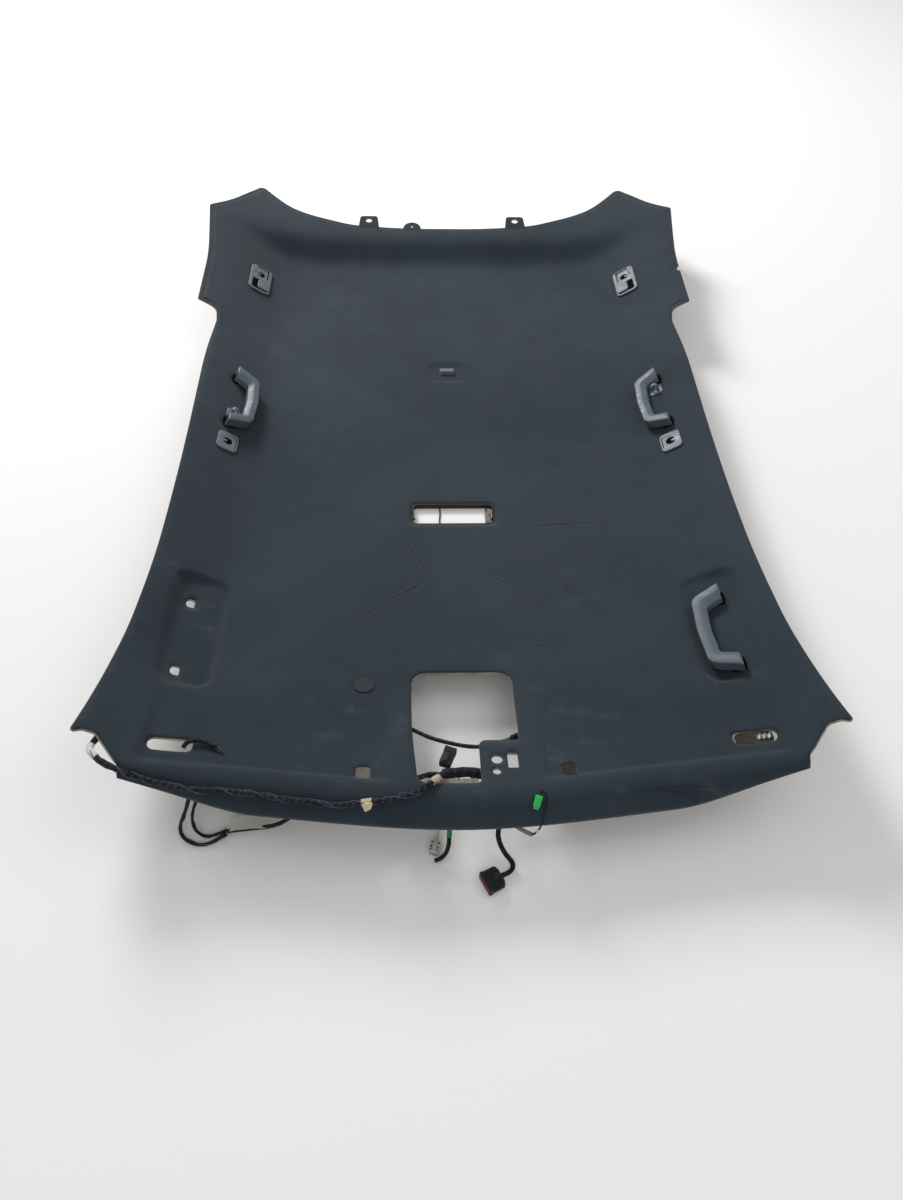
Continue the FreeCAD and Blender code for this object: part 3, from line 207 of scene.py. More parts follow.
def makeKnitGroup():
    group, entry, leave = makeGroup("fabricKnit", [("Vector", "Vector", None), ("Pitch", "Float", 0.0016)],
                                    [("Height", "Float"), ("Fuzz", "Float")])
    scale = calc(group, "DIVIDE", 1.0, entry["Pitch"])
    split = splitVector(group, entry["Vector"])
    across, along = (calc(group, "SINE", times(group, times(group, split[axis], scale), 2 * pi)) for axis in "XY")
    loops = times(group, plus(group, times(group, across, along), 1.0), 0.5)
    fuzz = noise(group, entry["Vector"], times(group, scale, 0.8), 4.0, 0.7)
    height = plus(group, times(group, loops, 0.55), times(group, fuzz, 0.6))
    wire(group, height, leave["Height"])
    wire(group, fuzz, leave["Fuzz"])
    return group


def makeMottleGroup():
    group, entry, leave = makeGroup("softMottle", [("Vector", "Vector", None), ("Scale", "Float", 4.0)],
                                    [("Mask", "Float")])
    broad = noise(group, entry["Vector"], entry["Scale"], 3.0, 0.55)
    finer = noise(group, entry["Vector"], times(group, entry["Scale"], 7.0), 4.0, 0.6)
    both = plus(group, times(group, broad, 0.7), times(group, finer, 0.3))
    wire(group, remap(group, both, 0.36, 0.64), leave["Mask"])
    return group


def makeCreaseGroup():
    group, entry, leave = makeGroup("longCreases", [("Vector", "Vector", None), ("Scale", "Float", 3.0),
                                    ("Width", "Float", 0.006), ("Shift", "Float", 0.0)], [("Mask", "Float")])
    offset = group.nodes.new("ShaderNodeCombineXYZ")
    wire(group, entry["Shift"], offset.inputs["Z"])
    spot = vectorMath(group, "ADD", entry["Vector"], offset.outputs[0])
    gap = calc(group, "ABSOLUTE", calc(group, "SUBTRACT", noise(group, spot, entry["Scale"], 2.0, 0.45,
                                                                (0.35, 3.2, 1.0)), 0.5))
    line = remap(group, gap, entry["Width"], 0.0)
    broken = remap(group, noise(group, spot, times(group, entry["Scale"], 3.0), 2.0), 0.5, 0.62)
    wire(group, times(group, line, broken), leave["Mask"])
    return group


# a crease line's mask, and a wider band round it that carries a painted highlight on the crease's shoulders
def makeLineGroup():
    group, entry, leave = makeGroup("creaseLine", [("Vector", "Vector", None), ("Start", "Vector", None),
                                    ("End", "Vector", None), ("Width", "Float", 0.001)],
                                    [("Mask", "Float"), ("LitShoulder", "Float")])
    wobble = group.nodes.new("ShaderNodeTexNoise")
    wire(group, entry["Vector"], wobble.inputs["Vector"])
    wobble.inputs["Scale"].default_value = 16.0
    sway = vectorMath(group, "SUBTRACT", wobble.outputs["Color"], (0.5, 0.5, 0.5))
    sway = vectorMath(group, "MULTIPLY", sway, (0.03, 0.03, 0.0))
    flat = vectorMath(group, "MULTIPLY", entry["Vector"], (1.0, 1.0, 0.0))
    here = vectorMath(group, "SUBTRACT", vectorMath(group, "ADD", flat, sway), entry["Start"])
    run = vectorMath(group, "SUBTRACT", entry["End"], entry["Start"])
    share = calc(group, "DIVIDE", vectorMath(group, "DOT_PRODUCT", here, run),
                 vectorMath(group, "DOT_PRODUCT", run, run))
    held = calc(group, "MINIMUM", larger(group, share, 0.0), 1.0)
    away = vectorMath(group, "SUBTRACT", here, vectorMath(group, "SCALE", run, held))
    gap = vectorMath(group, "LENGTH", away)
    fade = times(group, remap(group, share, 0.0, 0.12), remap(group, share, 1.0, 0.8))
    broken = remap(group, noise(group, entry["Vector"], 40.0, 2.0), 0.40, 0.56)
    fade = times(group, fade, plus(group, times(group, broken, 0.7), 0.3))
    line = times(group, remap(group, gap, entry["Width"], 0.0), fade)
    rim = times(group, remap(group, gap, times(group, entry["Width"], 5.0), 0.0), fade)
    wire(group, line, leave["Mask"])
    wire(group, rim, leave["LitShoulder"])
    return group


def makeBoxGroup():
    group, entry, leave = makeGroup("patchWindow", [("Vector", "Vector", None), ("Centre", "Vector", None),
                                    ("Half", "Vector", None), ("Soft", "Float", 0.05)], [("Mask", "Float")])
    away = vectorMath(group, "SUBTRACT", entry["Vector"], entry["Centre"])
    split = splitVector(group, vectorMath(group, "SUBTRACT", entry["Half"], vectorMath(group, "ABSOLUTE", away)))
    least = calc(group, "MINIMUM", split["X"], split["Y"])
    wire(group, remap(group, least, 0.0, entry["Soft"]), leave["Mask"])
    return group


def makeSpeckGroup():
    group, entry, leave = makeGroup("dustSpecks", [("Vector", "Vector", None), ("Scale", "Float", 40.0),
                                    ("Size", "Float", 0.12), ("Share", "Float", 0.1)], [("Mask", "Float")])
    cells = cellTexture(group, entry["Vector"], entry["Scale"])
    chosen = calc(group, "LESS_THAN", splitVector(group, cells["Color"])["X"], entry["Share"])
    small = remap(group, cells["Distance"], entry["Size"], 0.0)
    wire(group, times(group, chosen, small), leave["Mask"])
    return group


def makeGrainGroup():
    group, entry, leave = makeGroup("mouldedGrain", [("Vector", "Vector", None), ("Scale", "Float", 900.0)],
                                    [("Height", "Float"), ("Wear", "Float")])
    cells = cellTexture(group, entry["Vector"], entry["Scale"])
    fine = noise(group, entry["Vector"], times(group, entry["Scale"], 0.6), 3.0)
    wire(group, plus(group, cells["Distance"], fine), leave["Height"])
    smear = noise(group, entry["Vector"], 28.0, 5.0, 0.65, (1.0, 2.5, 1.0))
    wire(group, remap(group, smear, 0.45, 0.72), leave["Wear"])
    return group


def makeBraidGroup():
    group, entry, leave = makeGroup("wrappedTape", [("Vector", "Vector", None), ("Turns", "Float", 1.0),
                                    ("Starts", "Float", 8.0)], [("Height", "Float"), ("Overlap", "Float")])
    split = splitVector(group, entry["Vector"])
    turn = times(group, split["X"], entry["Turns"])
    overlap = calc(group, "FRACT", plus(group, turn, split["Y"]))
    around = times(group, split["Y"], entry["Starts"])
    many = times(group, turn, entry["Starts"])
    left, right = (calc(group, "SINE", times(group, calc(group, how, many, around), 2 * pi))
                   for how in ("ADD", "SUBTRACT"))
    weave = larger(group, left, right)
    wire(group, plus(group, times(group, weave, 0.35), overlap), leave["Height"])
    wire(group, overlap, leave["Overlap"])
    return group


knitGroup = makeKnitGroup()
mottleGroup = makeMottleGroup()
creaseGroup = makeCreaseGroup()
lineGroup = makeLineGroup()
windowGroup = makeBoxGroup()
speckGroup = makeSpeckGroup()
grainGroup = makeGrainGroup()
tapeGroup = makeBraidGroup()
print("node groups built")


def newFinish(name, colour, rough, sheen=0.0, metal=0.0, shine=0.5):
    material = bpy.data.materials.new(name)
    material.use_nodes = True
    tree = material.node_tree
    shader = tree.nodes["Principled BSDF"]
    shader.inputs["Base Color"].default_value = colour
    shader.inputs["Roughness"].default_value = rough
    shader.inputs["Metallic"].default_value = metal
    shader.inputs["Specular IOR Level"].default_value = shine
    shader.inputs["Sheen Weight"].default_value = sheen
    shader.inputs["Sheen Roughness"].default_value = 0.5
    places = tree.nodes.new("ShaderNodeTexCoord")
    return material, tree, shader, places


def paint(tree, shader, colour, rough):
    wire(tree, colour, shader.inputs["Base Color"])
    wire(tree, rough, shader.inputs["Roughness"])


def addBump(tree, shader, height, strength, distance, under=None):
    bump = tree.nodes.new("ShaderNodeBump")
    bump.inputs["Strength"].default_value = strength
    bump.inputs["Distance"].default_value = distance
    wire(tree, height, bump.inputs["Height"])
    if under is not None:
        wire(tree, under, bump.inputs["Normal"])
    wire(tree, bump.outputs["Normal"], shader.inputs["Normal"])
    return bump.outputs["Normal"]


# knit lining: charcoal with a soft mottle, rubbed lighter at places, with thin creases painted darker in their
# folds as painted shade and a faint painted highlight along their shoulders
liningLook = {
    "deep": linearShade(40, 50, 58), "high": linearShade(51, 62, 71), "rubbed": linearShade(98, 106, 111),
    "dust": linearShade(170, 168, 162), "creaseShade": linearShade(18, 23, 28), "knitPitch": 0.0017,
    "creaseHighlight": linearShade(92, 100, 106),
    "creaseLines": [
        ((0.02, -0.34), (0.28, -0.47), 0.0022), ((0.05, -0.43), (0.20, -0.60), 0.0018),
        ((0.10, -0.36), (0.33, -0.40), 0.0017), ((0.12, -0.52), (0.26, -0.50), 0.0020),
        ((0.18, -0.42), (0.24, -0.56), 0.0017), ((0.16, -0.30), (0.47, -0.31), 0.0026),
        ((0.24, -0.33), (0.30, -0.24), 0.0018), ((-0.02, -0.48), (0.16, -0.44), 0.0017),
        ((0.08, -0.62), (0.22, -0.66), 0.0020), ((-0.21, -0.60), (-0.05, -0.46), 0.0028),
        ((-0.05, -0.46), (-0.10, -0.36), 0.0024), ((-0.28, -0.50), (-0.14, -0.56), 0.0017),
        ((0.30, -0.52), (0.40, -0.47), 0.0019), ((0.04, 0.52), (0.22, 0.44), 0.0028),
        ((0.22, 0.44), (0.28, 0.20), 0.0026), ((0.32, -0.08), (0.44, -0.14), 0.0022),
        ((-0.05, 0.02), (-0.04, -0.12), 0.0020), ((0.36, -0.20), (0.46, -0.15), 0.0020)],
    "rubPatches": [((0.0, -0.86, 0.0), (0.30, 0.13, 9.0)), ((-0.49, -0.62, 0.0), (0.09, 0.17, 9.0)),
                   ((0.0, -1.0, 0.0), (0.62, 0.07, 9.0))],
}


def makeLining():
    look = liningLook
    material, tree, shader, places = newFinish("knitFabric", look["deep"], 0.9, 0.1, shine=0.18)
    spot = places.outputs["Object"]
    mottle = useGroup(tree, mottleGroup, Vector=spot, Scale=2.0)["Mask"]
    mottle = plus(tree, times(tree, mottle, 0.55), 0.2)
    colour = blendColour(tree, mottle, look["deep"], look["high"])
    rubbing = None
    for centre, half in look["rubPatches"]:
        mask = useGroup(tree, windowGroup, Vector=spot, Centre=centre, Half=half, Soft=0.06)["Mask"]
        rubbing = mask if rubbing is None else larger(tree, rubbing, mask)
    smear = remap(tree, noise(tree, spot, 14.0, 6.0, 0.68, (1.0, 1.6, 1.0)), 0.52, 0.78)
    rub = times(tree, times(tree, rubbing, smear), 0.30)
    everywhere = times(tree, remap(tree, noise(tree, spot, 5.0, 6.0, 0.7), 0.6, 0.82), 0.22)
    colour = blendColour(tree, larger(tree, rub, everywhere), colour, look["rubbed"])
    creases, shoulderHighlight = None, None
    for start, end, wide in look["creaseLines"]:
        line = useGroup(tree, lineGroup, Vector=spot, Start=(*start, 0.0), End=(*end, 0.0), Width=wide)
        creases = line["Mask"] if creases is None else larger(tree, creases, line["Mask"])
        shoulderHighlight = line["LitShoulder"] if shoulderHighlight is None else larger(tree, shoulderHighlight, line["LitShoulder"])
    faint = useGroup(tree, creaseGroup, Vector=spot, Scale=1.6, Width=0.0016, Shift=5.0)["Mask"]
    # painted highlight: a faint lighter band along each crease's shoulders, where a fold catches the light
    colour = blendColour(tree, times(tree, shoulderHighlight, 0.07), colour, look["creaseHighlight"])
    creases = larger(tree, creases, times(tree, faint, 0.35))
    # painted shade: the crease lines and the faint long creases are darkened where the folds fall into shade
    colour = blendColour(tree, times(tree, creases, 0.8), colour, look["creaseShade"])
    specks = useGroup(tree, speckGroup, Vector=spot, Scale=34.0, Size=0.045, Share=0.08)["Mask"]
    colour = blendColour(tree, times(tree, specks, 0.8), colour, look["dust"])
    knit = useGroup(tree, knitGroup, Vector=spot, Pitch=look["knitPitch"])
    colour = blendColour(tree, times(tree, knit["Fuzz"], 0.22), colour, look["deep"], "MULTIPLY")
    paint(tree, shader, colour, remap(tree, mottle, 0.0, 1.0, 0.95, 0.82))
    soft = addBump(tree, shader, noise(tree, spot, 9.0, 4.0, 0.55), 0.25, 0.004)
    grooves = addBump(tree, shader, calc(tree, "SUBTRACT", 1.0, creases), 0.6, 0.0012, soft)
    addBump(tree, shader, knit["Height"], 0.35, 0.0005, grooves)
    return material


# pressed fibre that shows on every cut edge, and the unfinished face on the roof's side
fibreLook = {"edge": linearShade(176, 166, 146), "edgeDark": linearShade(108, 102, 90),
             "back": linearShade(176, 170, 158), "backDark": linearShade(128, 123, 114),
             "glue": linearShade(112, 100, 80), "felt": linearShade(150, 146, 140),
             "feltDark": linearShade(98, 94, 88)}


def makeFibreEdge():
    look = fibreLook
    material, tree, shader, places = newFinish("pressedFibre", look["edge"], 0.95, 0.1)
    spot = places.outputs["Object"]
    strands = noise(tree, spot, 420.0, 5.0, 0.7)
    patches = noise(tree, spot, 30.0, 4.0, 0.6)
    mask = remap(tree, times(tree, plus(tree, strands, patches), 0.5), 0.4, 0.6)
    paint(tree, shader, blendColour(tree, mask, look["edgeDark"], look["edge"]),
          remap(tree, strands, 0.3, 0.7, 0.98, 0.88))
    addBump(tree, shader, strands, 0.8, 0.0008)
    return material


def makeBackFleece():
    look = fibreLook
    material, tree, shader, places = newFinish("roofSideFleece", look["back"], 0.95, 0.15)
    spot = places.outputs["Object"]
    fibres = noise(tree, spot, 260.0, 6.0, 0.75, (1.0, 0.35, 1.0))
    crossing = noise(tree, spot, 240.0, 6.0, 0.75, (0.35, 1.0, 1.0))
    mat = larger(tree, fibres, crossing)
    broad = useGroup(tree, mottleGroup, Vector=spot, Scale=2.4)["Mask"]
    colour = blendColour(tree, remap(tree, mat, 0.45, 0.75), look["backDark"], look["back"])
    colour = blendColour(tree, times(tree, broad, 0.25), colour, look["backDark"])
    glue = remap(tree, noise(tree, spot, 6.5, 5.0, 0.6, None, (3.0, 1.0, 0.0)), 0.62, 0.66)
    colour = blendColour(tree, times(tree, glue, 0.45), colour, look["glue"])
    specks = useGroup(tree, speckGroup, Vector=spot, Scale=120.0, Size=0.16, Share=0.25)["Mask"]
    colour = blendColour(tree, times(tree, specks, 0.5), colour, look["edgeDark"])
    paint(tree, shader, colour, remap(tree, mat, 0.4, 0.8, 0.98, 0.86))
    addBump(tree, shader, mat, 0.7, 0.0009)
    return material


def makeFelt():
    look = fibreLook
    material, tree, shader, places = newFinish("greyFelt", look["felt"], 0.97, 0.2)
    spot = places.outputs["Object"]
    fluff = noise(tree, spot, 300.0, 6.0, 0.75)
    patch = noise(tree, spot, 60.0, 4.0, 0.6)
    colour = blendColour(tree, remap(tree, fluff, 0.4, 0.62), look["feltDark"], look["felt"])
    colour = blendColour(tree, remap(tree, patch, 0.5, 0.7, 0.0, 0.4), colour, look["backDark"])
    dots = useGroup(tree, speckGroup, Vector=spot, Scale=420.0, Size=0.3, Share=0.2)["Mask"]
    colour = blendColour(tree, times(tree, dots, 0.7), colour, look["feltDark"])
    paint(tree, shader, colour, remap(tree, fluff, 0.3, 0.7, 0.98, 0.9))
    addBump(tree, shader, fluff, 0.8, 0.0009)
    return material


def makePlastic(name, deep, worn, rough, grainScale=900.0, wearAmount=0.35, bump=0.25, shine=0.4):
    material, tree, shader, places = newFinish(name, deep, rough, shine=shine)
    spot = places.outputs["Object"]
    grain = useGroup(tree, grainGroup, Vector=spot, Scale=grainScale)
    colour = blendColour(tree, times(tree, grain["Wear"], wearAmount), deep, worn)
    paint(tree, shader, colour, remap(tree, grain["Wear"], 0.0, 1.0, rough, rough - 0.14))
    addBump(tree, shader, grain["Height"], bump, 0.0003)
    return material


def makeSteel():
    material, tree, shader, places = newFinish("pinSteel", linearShade(150, 150, 150), 0.35, 0.0, 1.0)
    lines = noise(tree, places.outputs["Object"], 700.0, 3.0, 0.5, (0.1, 1.0, 1.0))
    wire(tree, remap(tree, lines, 0.3, 0.7, 0.28, 0.45), shader.inputs["Roughness"])
    addBump(tree, shader, lines, 0.2, 0.0001)
    return material


def makeWrap(name, deep, high, turns, starts, rough=0.75, sheen=0.05, fluff=0.4):
    material, tree, shader, places = newFinish(name, deep, rough, sheen, shine=0.3)
    tape = useGroup(tree, tapeGroup, Vector=places.outputs["UV"], Turns=turns, Starts=starts)
    lint = noise(tree, places.outputs["Object"], 320.0, 5.0, 0.7)
    mask = times(tree, remap(tree, tape["Overlap"], 0.75, 1.0), 0.3)
    mask = larger(tree, mask, times(tree, remap(tree, lint, 0.55, 0.75), fluff))
    paint(tree, shader, blendColour(tree, mask, deep, high),
          remap(tree, lint, 0.3, 0.7, rough + 0.1, rough - 0.12))
    ridges = addBump(tree, shader, tape["Height"], 0.8, 0.0009)
    addBump(tree, shader, lint, 0.4, 0.0004, ridges)
    return material


finishes = {
    "knit": makeLining(), "edge": makeFibreEdge(), "fleece": makeBackFleece(),
    "grip": makePlastic("gripPlastic", linearShade(88, 98, 107), linearShade(112, 122, 131), 0.5),
    "cap": makePlastic("fabricCap", linearShade(38, 46, 54), linearShade(48, 56, 64), 0.85),
    "dark": makePlastic("darkPlastic", linearShade(24, 26, 29), linearShade(58, 61, 65), 0.55, shine=0.3),
    "trim": makePlastic("trimPlastic", linearShade(100, 110, 118), linearShade(132, 141, 148), 0.5),
    # painted shade: a near-black, barely shiny finish that stands in for the shade inside holes, under plates, in
    # connector openings and round the handle feet
    "shadeWell": makePlastic("paintedShadeBlack", linearShade(9, 10, 12), linearShade(22, 22, 24), 0.9, shine=0.05),
    "brown": makePlastic("brownPlastic", linearShade(50, 43, 34), linearShade(84, 74, 60), 0.7, shine=0.2),
    "white": makePlastic("paleConnector", linearShade(196, 196, 190), linearShade(160, 158, 150), 0.5),
    "green": makePlastic("greenConnector", linearShade(38, 186, 88), linearShade(90, 214, 130), 0.4,
                         wearAmount=0.2),
    "red": makePlastic("redInsert", linearShade(150, 34, 30), linearShade(180, 70, 60), 0.5),
    "felt": makeFelt(), "steel": makeSteel(),
    "loom": makeWrap("loomTape", linearShade(15, 17, 23), linearShade(104, 118, 142), 90.0, 3.0),
    "braid": makeWrap("braidedSleeve", linearShade(13, 14, 17), linearShade(70, 76, 88), 60.0, 6.0),
    "wires": makeWrap("bareWires", linearShade(13, 14, 17), linearShade(56, 60, 68), 45.0, 2.0, 0.5, 0.0, 0.2),
    "pale": makeWrap("paleSleeve", linearShade(186, 186, 178), linearShade(220, 219, 212), 140.0, 4.0),
    "strand": makeWrap("blueStrand", linearShade(58, 70, 96), linearShade(150, 164, 190), 200.0, 2.0, 0.4),
    "foam": makeWrap("greyFoam", linearShade(126, 124, 116), linearShade(166, 163, 154), 30.0, 2.0, 0.9),
    "greenTape": makeWrap("greenTape", linearShade(46, 128, 74), linearShade(96, 176, 120), 160.0, 2.0, 0.5),
    "beige": makeWrap("beigeTape", linearShade(190, 176, 146), linearShade(222, 212, 188), 120.0, 2.0, 0.8),
    "whiteTape": makeWrap("whiteTape", linearShade(205, 204, 198), linearShade(232, 231, 226), 150.0, 2.0, 0.8),
}
print("materials made")


# headliner sheet: the part's own surface in millimetres, meshed closer where it bends
sheetShape = {
    "wall": 6.0, "waist": 571.0, "crestY": -982.0, "crestEndDrop": 40.0, "lipRadius": 50.0, "lipEndRadius": 22.0,
    "lipTurn": 72.0, "rollLong": 70.0, "sideSlope": 0.68, "sideInset": 121.0, "sideWide": 110.0,
    "rearWallY": 768.0, "rearWallDeep": 60.0, "flatY": 185.0, "pocketInset": 87.5, "pocketWide": 99.0,
    "pocketY": -633.0, "pocketLong": 272.0, "pocketDeep": 7.0, "pocketSlope": (0.45, -0.06),
    "handleFront": (68.0, -650.0), "handleRear": (57.0, 68.0), "visorDeep": 8.0, "surround": 129.0,
    "visorHalf": 525.0,
    "clipY": 261.0, "clipWide": 104.0, "clipDeep": 3.5, "fine": 5.0, "coarse": 15.0, "rimDrop": 2.6,
    "rimWide": 16.0, "rimStartY": 395.0, "edgeTuck": 1.1,
}


def softRamp(distance, blend):
    return 0.5 * (distance + np.sqrt(distance * distance + blend * blend))


def smoothStep(part):
    part = np.clip(part, 0.0, 1.0)
    return part * part * (3.0 - 2.0 * part)


def band(place, low, high, edge):
    return smoothStep((place - low) / edge) * smoothStep((high - place) / edge)


def boxBand(x, y, halfX, halfY, corner, edge):
    overX, overY = np.abs(x) - halfX + corner, np.abs(y) - halfY + corner
    far = np.hypot(np.maximum(overX, 0.0), np.maximum(overY, 0.0)) - corner
    far = far + np.minimum(np.maximum(overX, overY), 0.0)
    return smoothStep(-far / edge)


def crest(x):
    return sheetShape["crestY"] + sheetShape["crestEndDrop"] * smoothStep(np.abs(x) / 480.0)


def rawHeight(x, y):
    s = sheetShape
    out = np.abs(x)
    crown = 1.2e-4 * softRamp(-37.0 - y, 60.0) ** 2 + 0.7e-4 * softRamp(y - 408.0, 60.0) ** 2
    crown = crown + 2.0e-4 * softRamp(out - 230.0, 80.0) ** 2
    forward = smoothStep((-467.0 - y) / 430.0)
    start = s["waist"] - s["sideInset"] + 70.0 * forward
    end = start + s["sideWide"]
    side = (s["sideSlope"] - 0.13 * forward) * (softRamp(out - start, 50.0) - softRamp(out - end, 50.0))
    side = side + 0.15 * softRamp(out - end, 50.0)
    rear = softRamp(y - s["rearWallY"], 30.0) - softRamp(y - s["rearWallY"] - s["rearWallDeep"], 30.0)
    return s["wall"] + crown + side + softRamp(rear - side, 24.0) - softRamp(-side, 24.0)


def height(x, y):
    s = sheetShape
    hold = boxBand(np.abs(x) - s["waist"] + s["pocketInset"], y - s["pocketY"], s["pocketWide"] / 2 + 3.0,
                   s["pocketLong"] / 2 + 3.0, 34.0, 20.0)
    footX, footY = s["waist"] - s["handleFront"][0], s["handleFront"][1]
    floor = rawHeight(footX, footY) - s["pocketDeep"]
    floor = floor + s["pocketSlope"][0] * (np.abs(x) - footX) + s["pocketSlope"][1] * (y - footY)
    raw = rawHeight(x, y)
    visor = s["visorDeep"] * band(np.abs(x), s["surround"] - 11.0, s["visorHalf"], 15.0)
    visor = visor * smoothStep((y - crest(x) - 3.0) / 14.0) * (1.0 - smoothStep((y + 900.0) / 150.0))
    wide = s["clipWide"] / 2
    clip = s["clipDeep"] * boxBand(x, y - s["clipY"], wide, wide - 8.0, 24.0, 12.0)
    return raw - (rawHeight(0.0, s["flatY"]) - s["wall"]) - (raw - floor) * hold - visor - clip


def lipParts(x):
    start = crest(x)
    tilt = np.arctan(-(height(x, start + 1.0) - height(x, start - 1.0)) / 2)
    shrink = sheetShape["lipRadius"] - sheetShape["lipEndRadius"]
    return start, tilt, sheetShape["lipRadius"] - shrink * smoothStep((np.abs(x) - 330.0) / 230.0)


def planShift(x, v):
    s = sheetShape
    return (crest(x) - s["crestY"]) * (1.0 - smoothStep((v - s["crestY"]) / 150.0))


def cabinPoints(x, v):
    s = sheetShape
    start, tilt, radius = lipParts(x)
    turn = tilt + np.minimum(v - s["crestY"], 0.0) / s["rollLong"] * (tilt + radians(s["lipTurn"]))
    flatY = v + planShift(x, v)
    rollY = start + radius * (np.sin(turn) - np.sin(tilt))
    rollZ = height(x, start) + radius * (np.cos(turn) - np.cos(tilt))
    onRoll = v < s["crestY"]
    return np.stack([x, np.where(onRoll, rollY, flatY), np.where(onRoll, rollZ, height(x, flatY))], axis=-1)


def cabinNormals(x, v):
    across = cabinPoints(x + 0.5, v) - cabinPoints(x - 0.5, v)
    along = cabinPoints(x, v + 0.5) - cabinPoints(x, v - 0.5)
    normal = np.cross(across, along)
    return normal / np.linalg.norm(normal, axis=-1, keepdims=True)


def planToSheet(x, y):
    s = sheetShape
    start, tilt, radius = lipParts(x)
    v = np.array(y, dtype=float)
    for _ in range(12):
        v = v + (y - v - planShift(x, v))
    reach = np.clip(np.sin(tilt) + (y - start) / radius, -sin(radians(s["lipTurn"])), 1.0)
    share = (np.arcsin(reach) - tilt) / (tilt + radians(s["lipTurn"]))
    return np.where(y < start, s["crestY"] + s["rollLong"] * np.clip(share, -1.0, 0.0), v)


def roundedLoop(corners, spacing=4.0):
    places = [np.array(corner[:2], dtype=float) for corner in corners]
    loop = []
    for i, here in enumerate(places):
        back, ahead = places[i - 1] - here, places[(i + 1) % len(places)] - here
        longBack, longAhead = np.linalg.norm(back), np.linalg.norm(ahead)
        back, ahead = back / longBack, ahead / longAhead
        turn = pi - np.arccos(np.clip(back.dot(ahead), -1, 1))
        reach = 0.49 * min(longBack, longAhead)
        if corners[i][2] is not None:
            reach = min(reach, corners[i][2] * tan(turn / 2))
        radius = reach / tan(turn / 2)
        first, last = here + back * reach, here + ahead * reach
        inward = (back + ahead) / np.linalg.norm(back + ahead)
        centre = here + inward * hypot(radius, reach)
        steps = max(3, int(radius * turn / spacing))
        for k in range(steps + 1):
            mix = first * (1 - k / steps) + last * k / steps - centre
            loop.append(centre + mix / np.linalg.norm(mix) * radius)
    return np.array(loop)


def divided(loop, spacing):
    out = []
    for i in range(len(loop)):
        here, ahead = loop[i], loop[(i + 1) % len(loop)]
        gap = np.linalg.norm(ahead - here)
        if gap < 1e-4:
            continue
        count = max(1, int(np.ceil(gap / spacing)))
        out += [here + (ahead - here) * k / count for k in range(count)]
    return np.array(out)


def boxCorners(x, y, halfX, halfY, radius):
    return [(x - halfX, y - halfY, radius), (x + halfX, y - halfY, radius),
            (x + halfX, y + halfY, radius), (x - halfX, y + halfY, radius)]


def circleLoop(x, y, radius):
    turns = np.linspace(0, 2 * pi, max(16, int(radius * 2)), endpoint=False)
    return np.stack([x + radius * np.cos(turns), y + radius * np.sin(turns)], axis=1)


def seatFrame(side, x, y):
    v = planToSheet(np.array([x]), np.array([y]))
    normal = cabinNormals(np.array([x]), v)[0]
    inboard = np.array([-side, 0.0, 0.0])
    inboard = inboard - normal * inboard.dot(normal)
    inboard /= np.linalg.norm(inboard)
    return np.array([x, y, float(height(x, y))]), np.cross(inboard, normal), inboard, normal


def seatLoop(side, x, y, corners):
    origin, along, inboard, normal = seatFrame(side, x, y)
    return np.array([(origin + along * p[0] + inboard * p[1])[:2] for p in corners])


def panelLoop():
    half = [(546.2, -1152.0, 2.0), (540.2, -950.8, 8.0), (581.0, -900.8, 12.0), (598.3, -899.8, 12.0),
            (614.3, -910.8, 6.0), (593.3, -762.8, None), (580.6, -666.8, None), (571.0, -510.8, None),
            (579.0, -59.3, None), (584.0, 207.7, None), (577.0, 351.7, 112.0), (584.0, 401.7, 28.0),
            (630.7, 417.7, 6.0), (633.2, 520.7, None), (635.0, 639.7, None), (661.0, 870.4, 12.0),
            (608.3, 926.4, None), (558.4, 1008.5, None), (533.0, 1048.5, 14.0), (499.5, 1016.5, None),
            (450.0, 973.5, None), (389.0, 947.5, None), (327.0, 927.5, None), (267.0, 907.0, None),
            (120.0, 890.5, None)]
    loop = roundedLoop(half + [(-x, y, r) for x, y, r in reversed(half)])
    nick = [(630.0, 566.5), (628.5, 570.0), (627.5, 575.0), (628.5, 580.0), (630.0, 583.5)]
    near = (loop[:, 0] > 0) & (np.abs(loop[:, 1] - 575.0) < 12.0)
    keep = np.where(~near)[0]
    spot = int(np.where((loop[:, 0] > 0) & (loop[:, 1] > 575.0))[0][0])
    before, after = keep[keep < spot], keep[keep >= spot]
    edge = [(633.8, 563.0)] + nick + [(634.2, 587.0)]
    return np.vstack([loop[before], np.array(edge), loop[after]])


